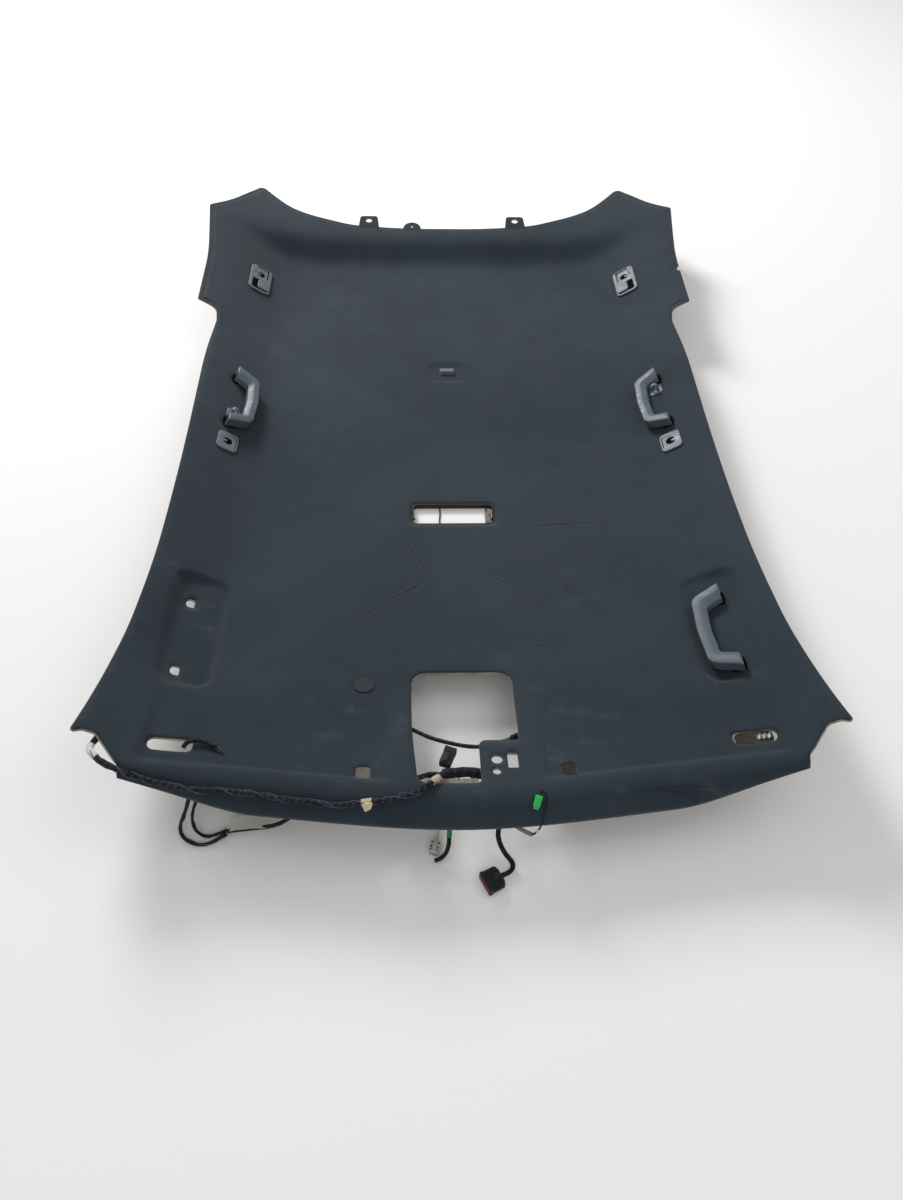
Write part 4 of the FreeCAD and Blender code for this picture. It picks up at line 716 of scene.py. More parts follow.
def holeLoops():
    loops = [roundedLoop([(-78.0, -975.0, 22.0), (22.0, -975.0, 8.0), (22.0, -885.0, 12.0), (89.0, -885.0, 6.0),
                          (89.0, -726.0, 27.0), (-89.0, -726.0, 27.0), (-89.0, -855.0, None)]),
             roundedLoop(boxCorners(0.0, -265.0, 90.0, 33.0, 14.0)),
             circleLoop(49.5, -926.0, 9.5), circleLoop(47.6, -951.0, 7.0),
             roundedLoop(boxCorners(75.0, -929.0, 8.5, 15.5, 2.0), 2.0), circleLoop(-172.0, -756.0, 14.8)]
    for side in (-1, 1):
        loops.append(roundedLoop(boxCorners(side * 166.0, -946.0, 11.5, 11.5, 5.0), 2.0))
        loops.append(roundedLoop(boxCorners(side * 477.0, -893.0, 34.5, 13.0, 10.0), 3.0))
        loops.append(seatLoop(side, side * 502.0, -79.0, circleLoop(0.0, 0.0, 9.0)))
        loops.append(seatLoop(side, side * 503.0, 607.0, circleLoop(side * 21.0, 0.0, 9.0)))
    empty = roundedLoop([(-10.0, -6.0, 9.5), (10.0, -6.0, 9.5), (10.0, 10.0, 3.0), (-10.0, 10.0, 3.0)], 2.0)
    filled = roundedLoop(boxCorners(0.0, 3.5, 9.0, 6.5, 4.0), 2.0)
    s = sheetShape
    for side, (inset, y) in zip((1, -1, 1, -1), [s["handleFront"]] * 2 + [s["handleRear"]] * 2):
        socket = empty if side < 0 and y < 0 else filled
        for end in (-81.0, 81.0):
            loops.append(seatLoop(side, side * (s["waist"] - inset), y, socket + np.array([end, 0.0])))
    return loops


def turnedLoop(loop, counter=True):
    x, y = loop[:, 0], loop[:, 1]
    area = (x * np.roll(y, -1) - y * np.roll(x, -1)).sum()
    return loop if (area > 0) == counter else loop[::-1]


def insetLoop(loop, gap):
    ahead = np.roll(loop, -1, axis=0) - loop
    ahead = ahead / np.linalg.norm(ahead, axis=1)[:, None]
    mean = ahead + np.roll(ahead, 1, axis=0)
    half = np.maximum(np.linalg.norm(mean, axis=1) / 2, 0.5)
    mean = mean / np.linalg.norm(mean, axis=1)[:, None]
    return loop + np.stack([-mean[:, 1], mean[:, 0]], axis=1) * (gap / half)[:, None]


def spacedLines(low, high, edges, reach):
    s = sheetShape
    places = [low]
    while places[-1] < high:
        gap = min(abs(places[-1] - edge) for edge in edges)
        share = min(1.0, max(0.0, gap - reach) / 60.0)
        places.append(places[-1] + s["fine"] + (s["coarse"] - s["fine"]) * share)
    places[-1] = high
    return np.array(places)


def insideLoop(points, loop):
    x, y = points[:, 0], points[:, 1]
    inside = np.zeros(len(points), dtype=bool)
    for i in range(len(loop)):
        x0, y0 = loop[i - 1]
        x1, y1 = loop[i]
        if y0 != y1:
            crossing = ((y0 > y) != (y1 > y)) & (x < (x1 - x0) * (y - y0) / (y1 - y0) + x0)
            inside ^= crossing
    return inside


def nearest(points, loop, far=30.0):
    best = np.full(len(points), far)
    for i in range(len(loop)):
        first, run = loop[i - 1], loop[i] - loop[i - 1]
        size = run.dot(run)
        if size < 1e-9:
            continue
        rough = np.where(np.abs(points - (first + run / 2)).max(axis=1) < far + np.sqrt(size))[0]
        if len(rough) == 0:
            continue
        away = points[rough] - first
        share = np.clip(away @ run / size, 0, 1)
        gap = np.linalg.norm(away - share[:, None] * run, axis=1)
        best[rough] = np.minimum(best[rough], gap)
    return best


def nearestOf(points, loops):
    return np.min([nearest(points, loop) for loop in loops], axis=0)


def inHoles(points, loops, margin):
    inside = np.zeros(len(points), dtype=bool)
    for loop in loops:
        low, high = loop.min(0) - margin, loop.max(0) + margin
        close = np.where(((points > low) & (points < high)).all(axis=1))[0]
        inside[close] |= insideLoop(points[close], loop)
    return inside


def sheetLoops():
    loops = []
    for k, loop in enumerate([panelLoop()] + holeLoops()):
        loop = divided(loop, 6.0 if k == 0 else 4.0)
        flat = np.stack([loop[:, 0], planToSheet(loop[:, 0], loop[:, 1])], axis=1)
        keep = [0]
        for i in range(1, len(flat)):
            if np.linalg.norm(flat[i] - flat[keep[-1]]) > 0.8:
                keep.append(i)
        loops.append(flat[keep])
    return loops


def sheetField(loops):
    s = sheetShape
    pocketIn = s["waist"] - s["pocketInset"] - s["pocketWide"] / 2
    edgesX = [s["surround"] - 4.0, pocketIn + 6.0, pocketIn + s["pocketWide"] - 6.0, s["visorHalf"] - 7.0,
              s["clipWide"] / 2 - 5.0]
    half = spacedLines(0.0, 665.0, edgesX, 10.0)
    gridX = np.concatenate([-half[:0:-1], half])
    edgesV = [s["crestY"] + 12.0, s["crestY"] - 20.0, s["crestY"] - 50.0, s["pocketY"] - 129.0,
              s["pocketY"] + 129.0,
              s["clipY"] - 47.0, s["clipY"] + 47.0, s["rearWallY"], s["rearWallY"] + s["rearWallDeep"]]
    gridV = spacedLines(s["crestY"] - s["rollLong"], 1045.0, edgesV, 8.0)
    gridV = np.sort(gridV[gridV > s["crestY"] - s["rollLong"] + 3.0])
    field = np.stack(np.meshgrid(gridX, gridV), axis=-1).reshape(-1, 2)
    field = field[insideLoop(field, loops[0])]
    field = field[~inHoles(field, loops[1:], 4.0)]
    toHole, toEdge = nearestOf(field, loops[1:]), nearest(field, loops[0])
    field = field[(toEdge > np.where(field[:, 1] > s["rimStartY"], s["rimWide"] + 5.0, 2.6)) & (toHole > 2.2)]
    for inset in [3.5, 7.0] + [s["rimWide"] + step for step in (-6.0, -4.0, -2.0, 0.0, 3.0)]:
        ring = insetLoop(turnedLoop(loops[0]), inset)
        ring = ring[(ring[:, 1] > s["rimStartY"] - 10.0) & (nearest(ring, loops[0], 30.0) > inset - 0.5)]
        ring = ring[insideLoop(ring, loops[0])]
        field = np.vstack([field, ring])
    return field


def flatMesh(loops):
    field = sheetField(loops)
    points = [tuple(p) for p in field]
    edges = []
    for loop in loops:
        base = len(points)
        points += [tuple(p) for p in loop]
        edges += [(base + i, base + (i + 1) % len(loop)) for i in range(len(loop))]
    made = delaunay_2d_cdt([Vector(p) for p in points], edges, [], 1, 1e-5)
    flat = np.array([tuple(v) for v in made[0]])
    faces = np.array([tuple(f) for f in made[2] if len(f) == 3])
    middles = flat[faces].mean(axis=1)
    faces = faces[insideLoop(middles, loops[0]) & ~inHoles(middles, loops[1:], 1.0)]
    area = np.cross(flat[faces[:, 1]] - flat[faces[:, 0]], flat[faces[:, 2]] - flat[faces[:, 0]])
    faces[area < 0] = faces[area < 0][:, ::-1]
    return flat, faces


def makeSheet():
    s = sheetShape
    loops = sheetLoops()
    flat, faces = flatMesh(loops)
    top = cabinPoints(flat[:, 0], flat[:, 1])
    normals = cabinNormals(flat[:, 0], flat[:, 1])
    edgeGap, holeGap = nearest(flat, loops[0]), nearestOf(flat, loops[1:])
    rim = smoothStep((s["rimWide"] - edgeGap) / 4.5) * smoothStep((flat[:, 1] - s["rimStartY"]) / 30.0)
    tuck = s["edgeTuck"] * smoothStep((3.0 - np.minimum(edgeGap, holeGap)) / 3.0)
    clip = s["clipDeep"] * boxBand(flat[:, 0], flat[:, 1] - s["clipY"], 52.0, 44.0, 24.0, 12.0)
    under = top - normals * s["wall"] + np.stack([0 * clip, 0 * clip, clip], axis=1)
    over = top - normals * (rim * s["rimDrop"] + tuck)[:, None]
    count = len(flat)
    counts = {}
    for face in faces:
        for a, b in ((face[0], face[1]), (face[1], face[2]), (face[2], face[0])):
            key = (min(a, b), max(a, b))
            counts[key] = None if key in counts else (a, b)
    border = [pair for pair in counts.values() if pair is not None]
    middle = {v: k for k, v in enumerate(sorted({a for a, b in border} | {b for a, b in border}))}
    rows = np.array(sorted(middle))
    between = (over[rows] + under[rows]) / 2
    verts = np.vstack([over, under, between]) / 1000.0
    allFaces = [tuple(f) for f in faces] + [tuple(f[::-1] + count) for f in faces]
    slots = [0] * len(faces) + [2] * len(faces)
    for a, b in border:
        allFaces.append((b, a, 2 * count + middle[a], 2 * count + middle[b]))
        allFaces.append((2 * count + middle[b], 2 * count + middle[a], count + a, count + b))
        slots += [1, 1]
    piece = meshObject("headliner_sheet", verts, allFaces, [finishes[m] for m in ("knit", "edge", "fleece")],
                       faceSlots=slots)
    print("sheet faces", len(allFaces), "points", count)
    return piece


sheetPiece = makeSheet()
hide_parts("headliner_panel")
print("sheet made")


# hardware: plates, hooks and bars, in millimetres in the seats that the part uses
def facePoint(x, y):
    spotX = np.array([x])
    v = planToSheet(spotX, np.array([y]))
    return cabinPoints(spotX, v)[0], cabinNormals(spotX, v)[0]


def seatAt(side, x, y, low=None, high=None):
    point, normal = facePoint(x, y)
    inboard = np.array([-side, 0.0, 0.0])
    inboard = inboard - normal * inboard.dot(normal)
    inboard /= np.linalg.norm(inboard)
    along = np.cross(inboard, normal)
    rise = 0.0
    if low is not None:
        for i in range(5):
            for j in range(5):
                here = point + along * (low[0] + (high[0] - low[0]) * i / 4)
                here = here + inboard * (low[1] + (high[1] - low[1]) * j / 4)
                rise = max(rise, (facePoint(here[0], here[1])[0] - here).dot(normal))
    return point + normal * rise, np.stack([along, inboard, normal])


# the flat that a handle needs round its two feet
handleSeatBox = {"reach": 95.0, "outboard": 4.0, "inboard": 20.0}


def handleSeat(side, x, y):
    p = handleSeatBox
    return seatAt(side, side * x, y, (-p["reach"], -p["outboard"]), (p["reach"], p["inboard"]))


def curveAt(share, start, corner, end):
    return (1 - share) ** 2 * start + 2 * share * (1 - share) * corner + share ** 2 * end


def placed(seat, verts):
    origin, rows = seat
    return (origin + np.asarray(verts, dtype=float) @ rows) / 1000.0


def slab(outer, holes, low, high, soft=1.0, holeSoft=0.5):
    loops = [turnedLoop(outer)] + [turnedLoop(hole, False) for hole in holes]
    verts, faces, rings = [], [], []
    for k, loop in enumerate(loops):
        edge = soft if k == 0 else holeSoft
        levels = [(0.0, low)]
        levels += [(edge * (1 - cos(t)), high - edge * (1 - sin(t))) for t in (0.0, 0.6, 1.1, pi / 2)]
        ring = []
        for inset, z in levels:
            ring.append(len(verts))
            verts += [(x, y, z) for x, y in insetLoop(loop, inset)]
        count = len(loop)
        for lower, upper in zip(ring[:-1], ring[1:]):
            faces += [(lower + i, lower + (i + 1) % count, upper + (i + 1) % count, upper + i)
                      for i in range(count)]
        rings.append((ring[0], ring[-1], count))
    for top in (0, 1):
        flat, edges, index = [], [], []
        for ring in rings:
            base = len(flat)
            start, count = ring[top], ring[2]
            flat += [Vector(verts[start + i][:2]) for i in range(count)]
            index += [start + i for i in range(count)]
            edges += [(base + i, base + (i + 1) % count) for i in range(count)]
        made = delaunay_2d_cdt(flat, edges, [], 1, 1e-6)
        back = [index[origins[0]] for origins in made[3]]
        plan = np.array([tuple(v) for v in made[0]])
        for face in made[2]:
            middle = plan[list(face)].mean(axis=0)[None, :]
            if not insideLoop(middle, loops[0])[0] or any(insideLoop(middle, hole)[0] for hole in loops[1:]):
                continue
            a, b, c = [plan[k] for k in face[:3]]
            turned = (b[0] - a[0]) * (c[1] - a[1]) - (b[1] - a[1]) * (c[0] - a[0]) > 0
            corners = [back[k] for k in face]
            faces.append(tuple(corners if turned == (top == 1) else corners[::-1]))
    return np.array(verts), faces


def block(corner, size, soft=0.8):
    x, y = corner[0] + size[0] / 2, corner[1] + size[1] / 2
    loop = roundedLoop(boxCorners(x, y, size[0] / 2, size[1] / 2, max(soft, 0.3)), 1.0)
    return slab(loop, [], corner[2], corner[2] + size[2], min(soft, size[2] / 3))


def loft(sections, closedPath=False):
    sections = [np.asarray(section, dtype=float) for section in sections]
    count = len(sections[0])
    verts = np.vstack(sections)
    faces = []
    for k in range(len(sections) - (0 if closedPath else 1)):
        a, b = k * count, (k + 1) % len(sections) * count
        faces += [(a + i, a + (i + 1) % count, b + (i + 1) % count, b + i) for i in range(count)]
    if not closedPath:
        last = (len(sections) - 1) * count
        faces += [tuple(range(count - 1, -1, -1)), tuple(last + i for i in range(count))]
    return verts, faces


def joined(parts):
    verts, faces, slots = [], [], []
    start = 0
    for (points, polygons), slot in parts:
        verts.append(np.asarray(points))
        faces += [tuple(k + start for k in face) for face in polygons]
        slots += [slot] * len(polygons)
        start += len(points)
    return np.vstack(verts), faces, slots


def hardware(name, seat, parts, materials, body="panel", replaced=None, crisp=32.0):
    verts, faces, slots = joined(parts)
    piece = meshObject(name, placed(seat, verts), faces, [finishes[m] for m in materials], body,
                       faceSlots=slots)
    piece.data.set_sharp_from_angle(angle=radians(crisp))
    if replaced:
        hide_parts(replaced)
    return piece


def cShape(x, y, radius, tongue):
    turns = np.linspace(-pi / 2 + tongue / radius / 2, 1.5 * pi - tongue / radius / 2, 30)
    ring = np.stack([x + radius * np.cos(turns), y + radius * np.sin(turns)], axis=1)
    tip = np.array([(x - tongue / 2, y - 0.15 * radius), (x + tongue / 2, y - 0.15 * radius)])
    return np.vstack([ring, tip])


def barLoop(x, y, halfX, halfY, radius=0.6):
    return roundedLoop(boxCorners(x, y, halfX, halfY, min(radius, 0.95 * min(halfX, halfY))), 1.0)


# plates, studs and wells of the net anchors and the rear brackets, and the coat hooks; the wells are near-black
# painted shade seen through the slots
plateSizes = {
    "gap": 0.3, "stud": 8.5, "studLong": 9.5, "slotRing": 11.0, "tongue": 6.0,
    "anchor": (57.0, 48.0, 4.0, 11.0), "anchorAt": (502.0, -79.0), "anchorRim": 1.3,
    "bracket": (112.0, 60.0, 4.5, 13.0), "bracketAt": (503.0, 607.0), "bracketStud": 21.0, "bracketRim": 1.5,
    "hook": (47.0, 15.0), "hookPlate": (32.0, 2.5, 6.0), "hookHigh": 21.0, "hookThick": 4.5, "hookWide": 9.0,
    "hookHandle": (514.0, 68.0), "hookTurn": (1.42, -0.08), "hookSteps": 18, "hookSides": 12,
}


def makeAnchor(side, word):
    p = plateSizes
    long, deep, thick, corner = p["anchor"]
    seat = seatAt(side, side * p["anchorAt"][0], p["anchorAt"][1], (-long / 2, -deep / 2), (long / 2, deep / 2))
    top = p["gap"] + thick
    outline = roundedLoop(boxCorners(0, 0, long / 2, deep / 2, corner), 2.0)
    groove = np.array([(-17.7, 18.3), (-17.7, 20.0), (18.6, 20.0), (18.6, -4.0), (16.9, -4.0), (16.9, 18.3)])
    groove = groove * np.array([side, 1.0])
    plate = slab(outline, [cShape(0, 0, p["slotRing"], p["tongue"]), groove], p["gap"] + 1.0, top, p["anchorRim"])
    # painted shade: the near-black floor under the plate's slots
    floor = slab(insetLoop(turnedLoop(outline), 0.6), [], p["gap"], p["gap"] + 1.3, 0.2)
    stud = slab(circleLoop(0, 0, p["stud"]), [], p["gap"] - p["studLong"], p["gap"], 0.1)
    hardware("net_anchor_plate_" + word, seat, [(plate, 0), (floor, 1), (stud, 1)], ["trim", "shadeWell"],
             replaced="net_anchor_" + word)


def makeBracket(side, word):
    p = plateSizes
    long, deep, thick, corner = p["bracket"]
    seat = seatAt(side, side * p["bracketAt"][0], p["bracketAt"][1], (-long / 2, -deep / 2), (long / 2, deep / 2))
    top = p["gap"] + thick
    stud = side * p["bracketStud"]
    outline = roundedLoop(boxCorners(0, 0, long / 2, deep / 2, corner), 2.0)
    rear = np.array([(52.8, -15.0), (52.8, 21.0), (7.0, 21.0), (7.0, 16.5), (46.0, 16.5), (46.0, -15.0)])
    rear = rear * np.array([side, 1.0])
    filler = block((8.0 if side > 0 else -44.0, 16.0, p["gap"] + 1.0), (36.0, 5.4, 1.9), 0.4)
    outboardLine = barLoop(side * 26.0, -16.7, 8.4, 0.8)
    pocket = roundedLoop(boxCorners(side * -28.0, 2.0, 22.5, 23.0, 5.0), 1.5)
    plate = slab(outline, [cShape(stud - side * 2.0, 0, p["slotRing"], p["tongue"]), rear, outboardLine, pocket],
                 p["gap"] + 0.8, top, p["bracketRim"])
    # painted shade: the near-black floor under the plate's slots
    floor = slab(insetLoop(turnedLoop(outline), 0.6), [], p["gap"], p["gap"] + 1.0, 0.2)
    shaft = slab(circleLoop(stud, 0, p["stud"]), [], p["gap"] - p["studLong"], p["gap"], 0.1)
    hardware("rear_bracket_plate_" + word, seat, [(plate, 0), (floor, 1), (shaft, 1), (filler, 2)],
             ["trim", "shadeWell", "dark"], replaced="rear_bracket_" + word)
    middle = side * -27.0
    cap = roundedLoop(boxCorners(middle + side * 2.0, 12.0, 18.5, 17.0, 7.0), 1.5)
    lid = slab(cap, [], top - 2.0, top + p["gap"] + 1.4, 1.6)
    # painted shade: the pad's root under the lid is near-black
    root = slab(roundedLoop(boxCorners(middle, 12.0, 17.0, 14.0, 5.0), 1.5), [], p["gap"] + 1.2, top - 1.6, 0.2)
    hardware("net_pad_" + word, seat, [(lid, 0), (root, 1)], ["trim", "shadeWell"],
             replaced="net_hook_pad_" + word)


def makeHook(side, word):
    p = plateSizes
    seat = handleSeat(side, *p["hookHandle"])
    x, y = p["hook"]
    half, thick, corner = p["hookPlate"]
    plate = roundedLoop(boxCorners(x, y, half / 2, half / 2, corner), 1.5)
    base = slab(plate, [], p["gap"], p["gap"] + thick, 1.0)
    radius = (p["hookHigh"] - thick) / 2
    mid = radius - p["hookThick"] / 2
    centre = radius + thick
    sections = []
    first, last = p["hookTurn"]
    for k, turn in enumerate(np.linspace(pi * first, pi * last, p["hookSteps"] + 1)):
        share = k / p["hookSteps"]
        away = np.array([cos(turn), sin(turn)])
        spot = np.array([y, centre]) + mid * away
        wide = p["hookWide"] / 2 * (1.35 - 0.5 * share)
        deep = p["hookThick"] / 2 * (1.0 - 0.25 * share)
        section = []
        for j in range(p["hookSides"]):
            a = 2 * pi * j / p["hookSides"]
            across = wide * np.sign(cos(a)) * abs(cos(a)) ** 0.55
            out = deep * np.sign(sin(a)) * abs(sin(a)) ** 0.55
            place = spot + away * out
            section.append((x + across, place[0], place[1]))
        sections.append(section)
    curl = loft(sections[::-1])
    hardware("coat_hook_arm_" + word, seat, [(base, 0), (curl, 0)], ["trim"],
             replaced="coat_hook_" + word, crisp=40.0)


# ears behind the rear edge, tilted up, each with its hole
earShape = {"wall": 6.0, "tilt": 15.0, "pads": [(-215.0, 64.0, 46.0, 9.5), (217.0, 64.0, 46.0, 9.5)],
            "edgeY": 893.0, "round": (-88.0, 887.0, 26.0, 4.5)}


def makeEar(name, x, y, outline, hole):
    e = earShape
    tilt = radians(e["tilt"])
    base = np.array([x, y, float(height(x, y)) - e["wall"]])
    seat = (base, np.array([(1.0, 0.0, 0.0), (0.0, cos(tilt), sin(tilt)), (0.0, -sin(tilt), cos(tilt))]))
    verts, faces = slab(outline, [hole], 0.0, e["wall"], 1.2, 0.8)
    slots = []
    for face in faces:
        a, b, c = (verts[k] for k in face[:3])
        up = np.cross(b - a, c - a)
        lean = up[2] / max(np.linalg.norm(up), 1e-9)
        slots.append(0 if lean > 0.3 else 2 if lean < -0.3 else 1)
    piece = meshObject(name, placed(seat, verts), faces, [finishes["knit"], finishes["edge"], finishes["fleece"]],
                       faceSlots=slots)
    piece.data.set_sharp_from_angle(angle=radians(35.0))


def makeEars():
    for word, (x, wide, long, radius) in zip(("left", "right"), earShape["pads"]):
        corners = [(-wide / 2, -14.0, 4.0), (wide / 2, -14.0, 4.0), (wide / 2 - 7.0, long, 9.0),
                   (-wide / 2 + 7.0, long, 9.0)]
        makeEar("rear_ear_" + word, x, earShape["edgeY"], roundedLoop(corners, 2.0),
                circleLoop(0.0, long - 17.0, radius))
    x, y, radius, hole = earShape["round"]
    makeEar("rear_ear_round", x, y, circleLoop(0.0, 0.0, radius), circleLoop(0.0, 10.0, hole))


# grab handle: a U-shaped bar whose top is flat outside and falls away inside, mitred into the legs
handleShape = {
    "outer": [(101.0, 0.0), (85.1, 40.3), (78.5, 57.0), (60.5, 57.0)],
    "inner": [(68.0, 0.0), (57.8, 25.8), (55.2, 32.5), (47.2, 32.5)],
    "legShares": (0.0, 0.05, 0.12, 0.3, 0.5, 0.75, 1.0), "bendSteps": 8, "barSteps": 6, "bow": 3.2,
    "endDrops": (2.6, 0.7, 0.0),
    "low": 4.0, "high": 28.0, "fall": 8.5, "flatShare": 0.56, "slot": (81.0, 9.0, 15.5, 21.0),
    "front_right": (1, 503.0, -650.0), "rear_right": (1, 514.0, 68.0), "rear_left": (-1, 514.0, 68.0),
}


def handleSide(points, bowShare):
    h = handleShape
    foot, bend, corner, bar = (np.array(point) for point in points)
    line = [foot + (bend - foot) * share for share in h["legShares"]]
    line += [curveAt(k / h["bendSteps"], bend, corner, bar) for k in range(1, h["bendSteps"] + 1)]
    for k in range(1, h["barSteps"] + 1):
        share = k / h["barSteps"]
        line.append(np.array([bar[0] * (1 - share), bar[1] + bowShare * h["bow"] * sin(pi / 2 * share) ** 2]))
    return line + [np.array([-x, y]) for x, y in line[-2::-1]]


def handleMesh():
    h = handleShape
    low, high, fall, flat = h["low"], h["high"], h["fall"], h["flatShare"]
    outer, inner = handleSide(h["outer"], 1.0), handleSide(h["inner"], 0.8)
    total = len(outer)
    sections = []
    for i, (far, near) in enumerate(zip(outer, inner)):
        toEnd = min(i, total - 1 - i)
        drop = h["endDrops"][min(toEnd, 2)]
        bow = 1.6 * smoothStep(np.array((toEnd - 5) / 14.0))
        top = high - drop + bow * 0.6
        sharePlaces = [(0.0, low + 2.0), (0.0, top - 2.6), (0.03, top - 0.8), (0.09, top), (flat - 0.03, top),
                       (flat + 0.03, top - 0.5), (0.93, top - fall + 0.6), (0.985, top - fall - 0.6),
                       (1.0, top - fall - 2.2), (1.0, low + 2.0), (0.95, low), (0.05, low)]
        sections.append([(*(far * (1 - share) + near * share), z) for share, z in sharePlaces])
    return loft(sections)


def cutWith(piece, cutters):
    for cutter in cutters:
        cut = piece.modifiers.new("slotCut", "BOOLEAN")
        cut.operation = "DIFFERENCE"
        cut.solver = "EXACT"
        cut.object = cutter
    bpy.context.view_layer.update()
    final = bpy.data.meshes.new_from_object(piece.evaluated_get(bpy.context.evaluated_depsgraph_get()))
    piece.modifiers.clear()
    piece.data = final
    for cutter in cutters:
        old = cutter.data
        bpy.data.objects.remove(cutter)
        bpy.data.meshes.remove(old)


def plainObject(name, verts, faces):
    mesh = bpy.data.meshes.new(name)
    mesh.from_pydata([tuple(v) for v in verts], [], [tuple(f) for f in faces])
    mesh.update()
    item = bpy.data.objects.new(name, mesh)
    scene.collection.objects.link(item)
    return item


def makeHandles():
    h = handleShape
    middle, half, deep, tall = h["slot"]
    for word in ("front_right", "rear_right", "rear_left"):
        side, x, y = h[word]
        seat = handleSeat(side, x, y)
        verts, faces = handleMesh()
        piece = plainObject("grab_handle_bar_" + word, placed(seat, verts), faces)
        piece.data.materials.append(finishes["grip"])
        cutters = []
        for end in (-1, 1):
            box = [(end * middle + i * half, (-6.0, deep)[j], (0.0, tall)[k])
                   for k in (0, 1) for j in (0, 1) for i in (-1, 1)]
            sides = [(0, 2, 3, 1), (4, 5, 7, 6), (0, 1, 5, 4), (2, 6, 7, 3), (0, 4, 6, 2), (1, 3, 7, 5)]
            cutters.append(plainObject("slotCutter", placed(seat, box), sides))
        cutWith(piece, cutters)
        piece.data.polygons.foreach_set("use_smooth", [True] * len(piece.data.polygons))
        piece.data.set_sharp_from_angle(angle=radians(26.0))
        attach(piece, "handle_" + word)
        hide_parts("grab_handle_" + word)


# lining of the lamp's frame: its walls, the slanted block at the right end and two light edge lines
lampLining = {
    "middle": (0.0, -265.0, 0.0), "half": (89.2, 32.2), "corner": 13.4, "thick": 2.6, "low": 0.6, "high": 5.4,
    "block": ((70.0, -20.0, 0.8), (15.5, 34.0, 4.2)), "lineX": 83.4, "lineY": -13.0, "lineZ": 12.5,
    "line": (1.0, 26.0, 0.6),
}


def makeLampLining():
    p = lampLining
    seat = (np.array(p["middle"]), np.eye(3))
    halfX, halfY = p["half"]
    outer = roundedLoop(boxCorners(0, 0, halfX, halfY, p["corner"]), 2.0)
    inner = roundedLoop(boxCorners(0, 0, halfX - p["thick"], halfY - p["thick"], 11.0), 2.0)
    hardware("dome_felt_wall", seat, [(slab(outer, [inner], p["low"], p["high"], 0.4, 0.4), 0)], ["brown"])
    hardware("dome_end_block", seat, [(block(*p["block"], 1.2), 0)], ["felt"])
    lines = [block((end * p["lineX"] - 0.5, p["lineY"], p["lineZ"]), p["line"], 0.2) for end in (-1, 1)]
    hardware("dome_edge_lines", seat, [(line, 0) for line in lines], ["white"])


for side, word in ((1, "right"), (-1, "left")):
    makeAnchor(side, word)
    makeBracket(side, word)
    makeHook(side, word)
makeEars()
makeHandles()
makeLampLining()
print("hardware made")


# cords: their control points are those of the routes in the part
def routeLine(name, points):
    data = bpy.data.curves.new(name + "Route", "CURVE")
    data.dimensions = "3D"
    data.resolution_u = 20
    spline = data.splines.new("NURBS")
    spline.points.add(len(points) - 1)
    for spot, place in zip(spline.points, points):
        spot.co = (*place, 1.0)
    spline.order_u = 3
    spline.use_endpoint_u = True
    holder = bpy.data.objects.new(name + "Route", data)
    scene.collection.objects.link(holder)
    bpy.context.view_layer.update()
    mesh = bpy.data.meshes.new_from_object(holder)
    line = np.array([v.co for v in mesh.vertices])
    bpy.data.objects.remove(holder)
    bpy.data.meshes.remove(mesh)
    bpy.data.curves.remove(data)
    return line


def runsOf(line):
    return np.concatenate([[0.0], np.cumsum(np.linalg.norm(np.diff(line, axis=0), axis=1))])


def evenly(line, step):
    far = runsOf(line)
    count = max(4, int(far[-1] / step))
    wanted = np.linspace(0.0, far[-1], count + 1)
    return np.stack([np.interp(wanted, far, line[:, k]) for k in range(3)], axis=1), wanted


def partOf(line, start, end):
    far = runsOf(line)
    inside = line[(far > start) & (far < end)]
    ends = [np.array([np.interp(s, far, line[:, k]) for k in range(3)]) for s in (start, end)]
    return np.vstack([ends[:1], inside, ends[1:]])


def tube(name, line, radius, finish, sides=14, step=None, lumps=0.03):
    spots, far = evenly(line, step or radius * 0.6)
    heading = np.gradient(spots, axis=0)
    heading /= np.linalg.norm(heading, axis=1)[:, None]
    side = np.cross(heading[0], (0.0, 0.0, 1.0))
    side = side if np.linalg.norm(side) > 0.1 else np.cross(heading[0], (0.0, 1.0, 0.0))
    verts, uvs, faces = [], [], []
    waves = rng.uniform(0, 2 * pi, 4)
    for i, (spot, way) in enumerate(zip(spots, heading)):
        side = side - way * side.dot(way)
        side /= np.linalg.norm(side)
        over = np.cross(way, side)
        swell = 1.0 + lumps * (sin(far[i] / radius * 0.9 + waves[0]) + sin(far[i] / radius * 2.3 + waves[1])) / 2
        for j in range(sides):
            turn = 2 * pi * j / sides
            bump = swell + 0.5 * lumps * sin(2 * turn + far[i] / radius * 0.6 + waves[2])
            verts.append(spot + radius * bump * (side * cos(turn) + over * sin(turn)))
    for i in range(len(spots) - 1):
        for j in range(sides):
            k = (j + 1) % sides
            faces.append((i * sides + j, i * sides + k, (i + 1) * sides + k, (i + 1) * sides + j))
            uvs += [(far[i], j / sides), (far[i], (j + 1) / sides), (far[i + 1], (j + 1) / sides),
                    (far[i + 1], j / sides)]
    last = len(spots) - 1
    faces.append(tuple(range(sides - 1, -1, -1)))
    faces.append(tuple(last * sides + j for j in range(sides)))
    uvs += [(0.0, 0.0)] * sides + [(far[-1], 0.0)] * sides
    piece = meshObject(name, verts, faces, [finish])
    layer = piece.data.uv_layers.new(name="alongCord")
    layer.data.foreach_set("uv", np.array(uvs, dtype=float).ravel())
    return piece, spots, float(far[-1])


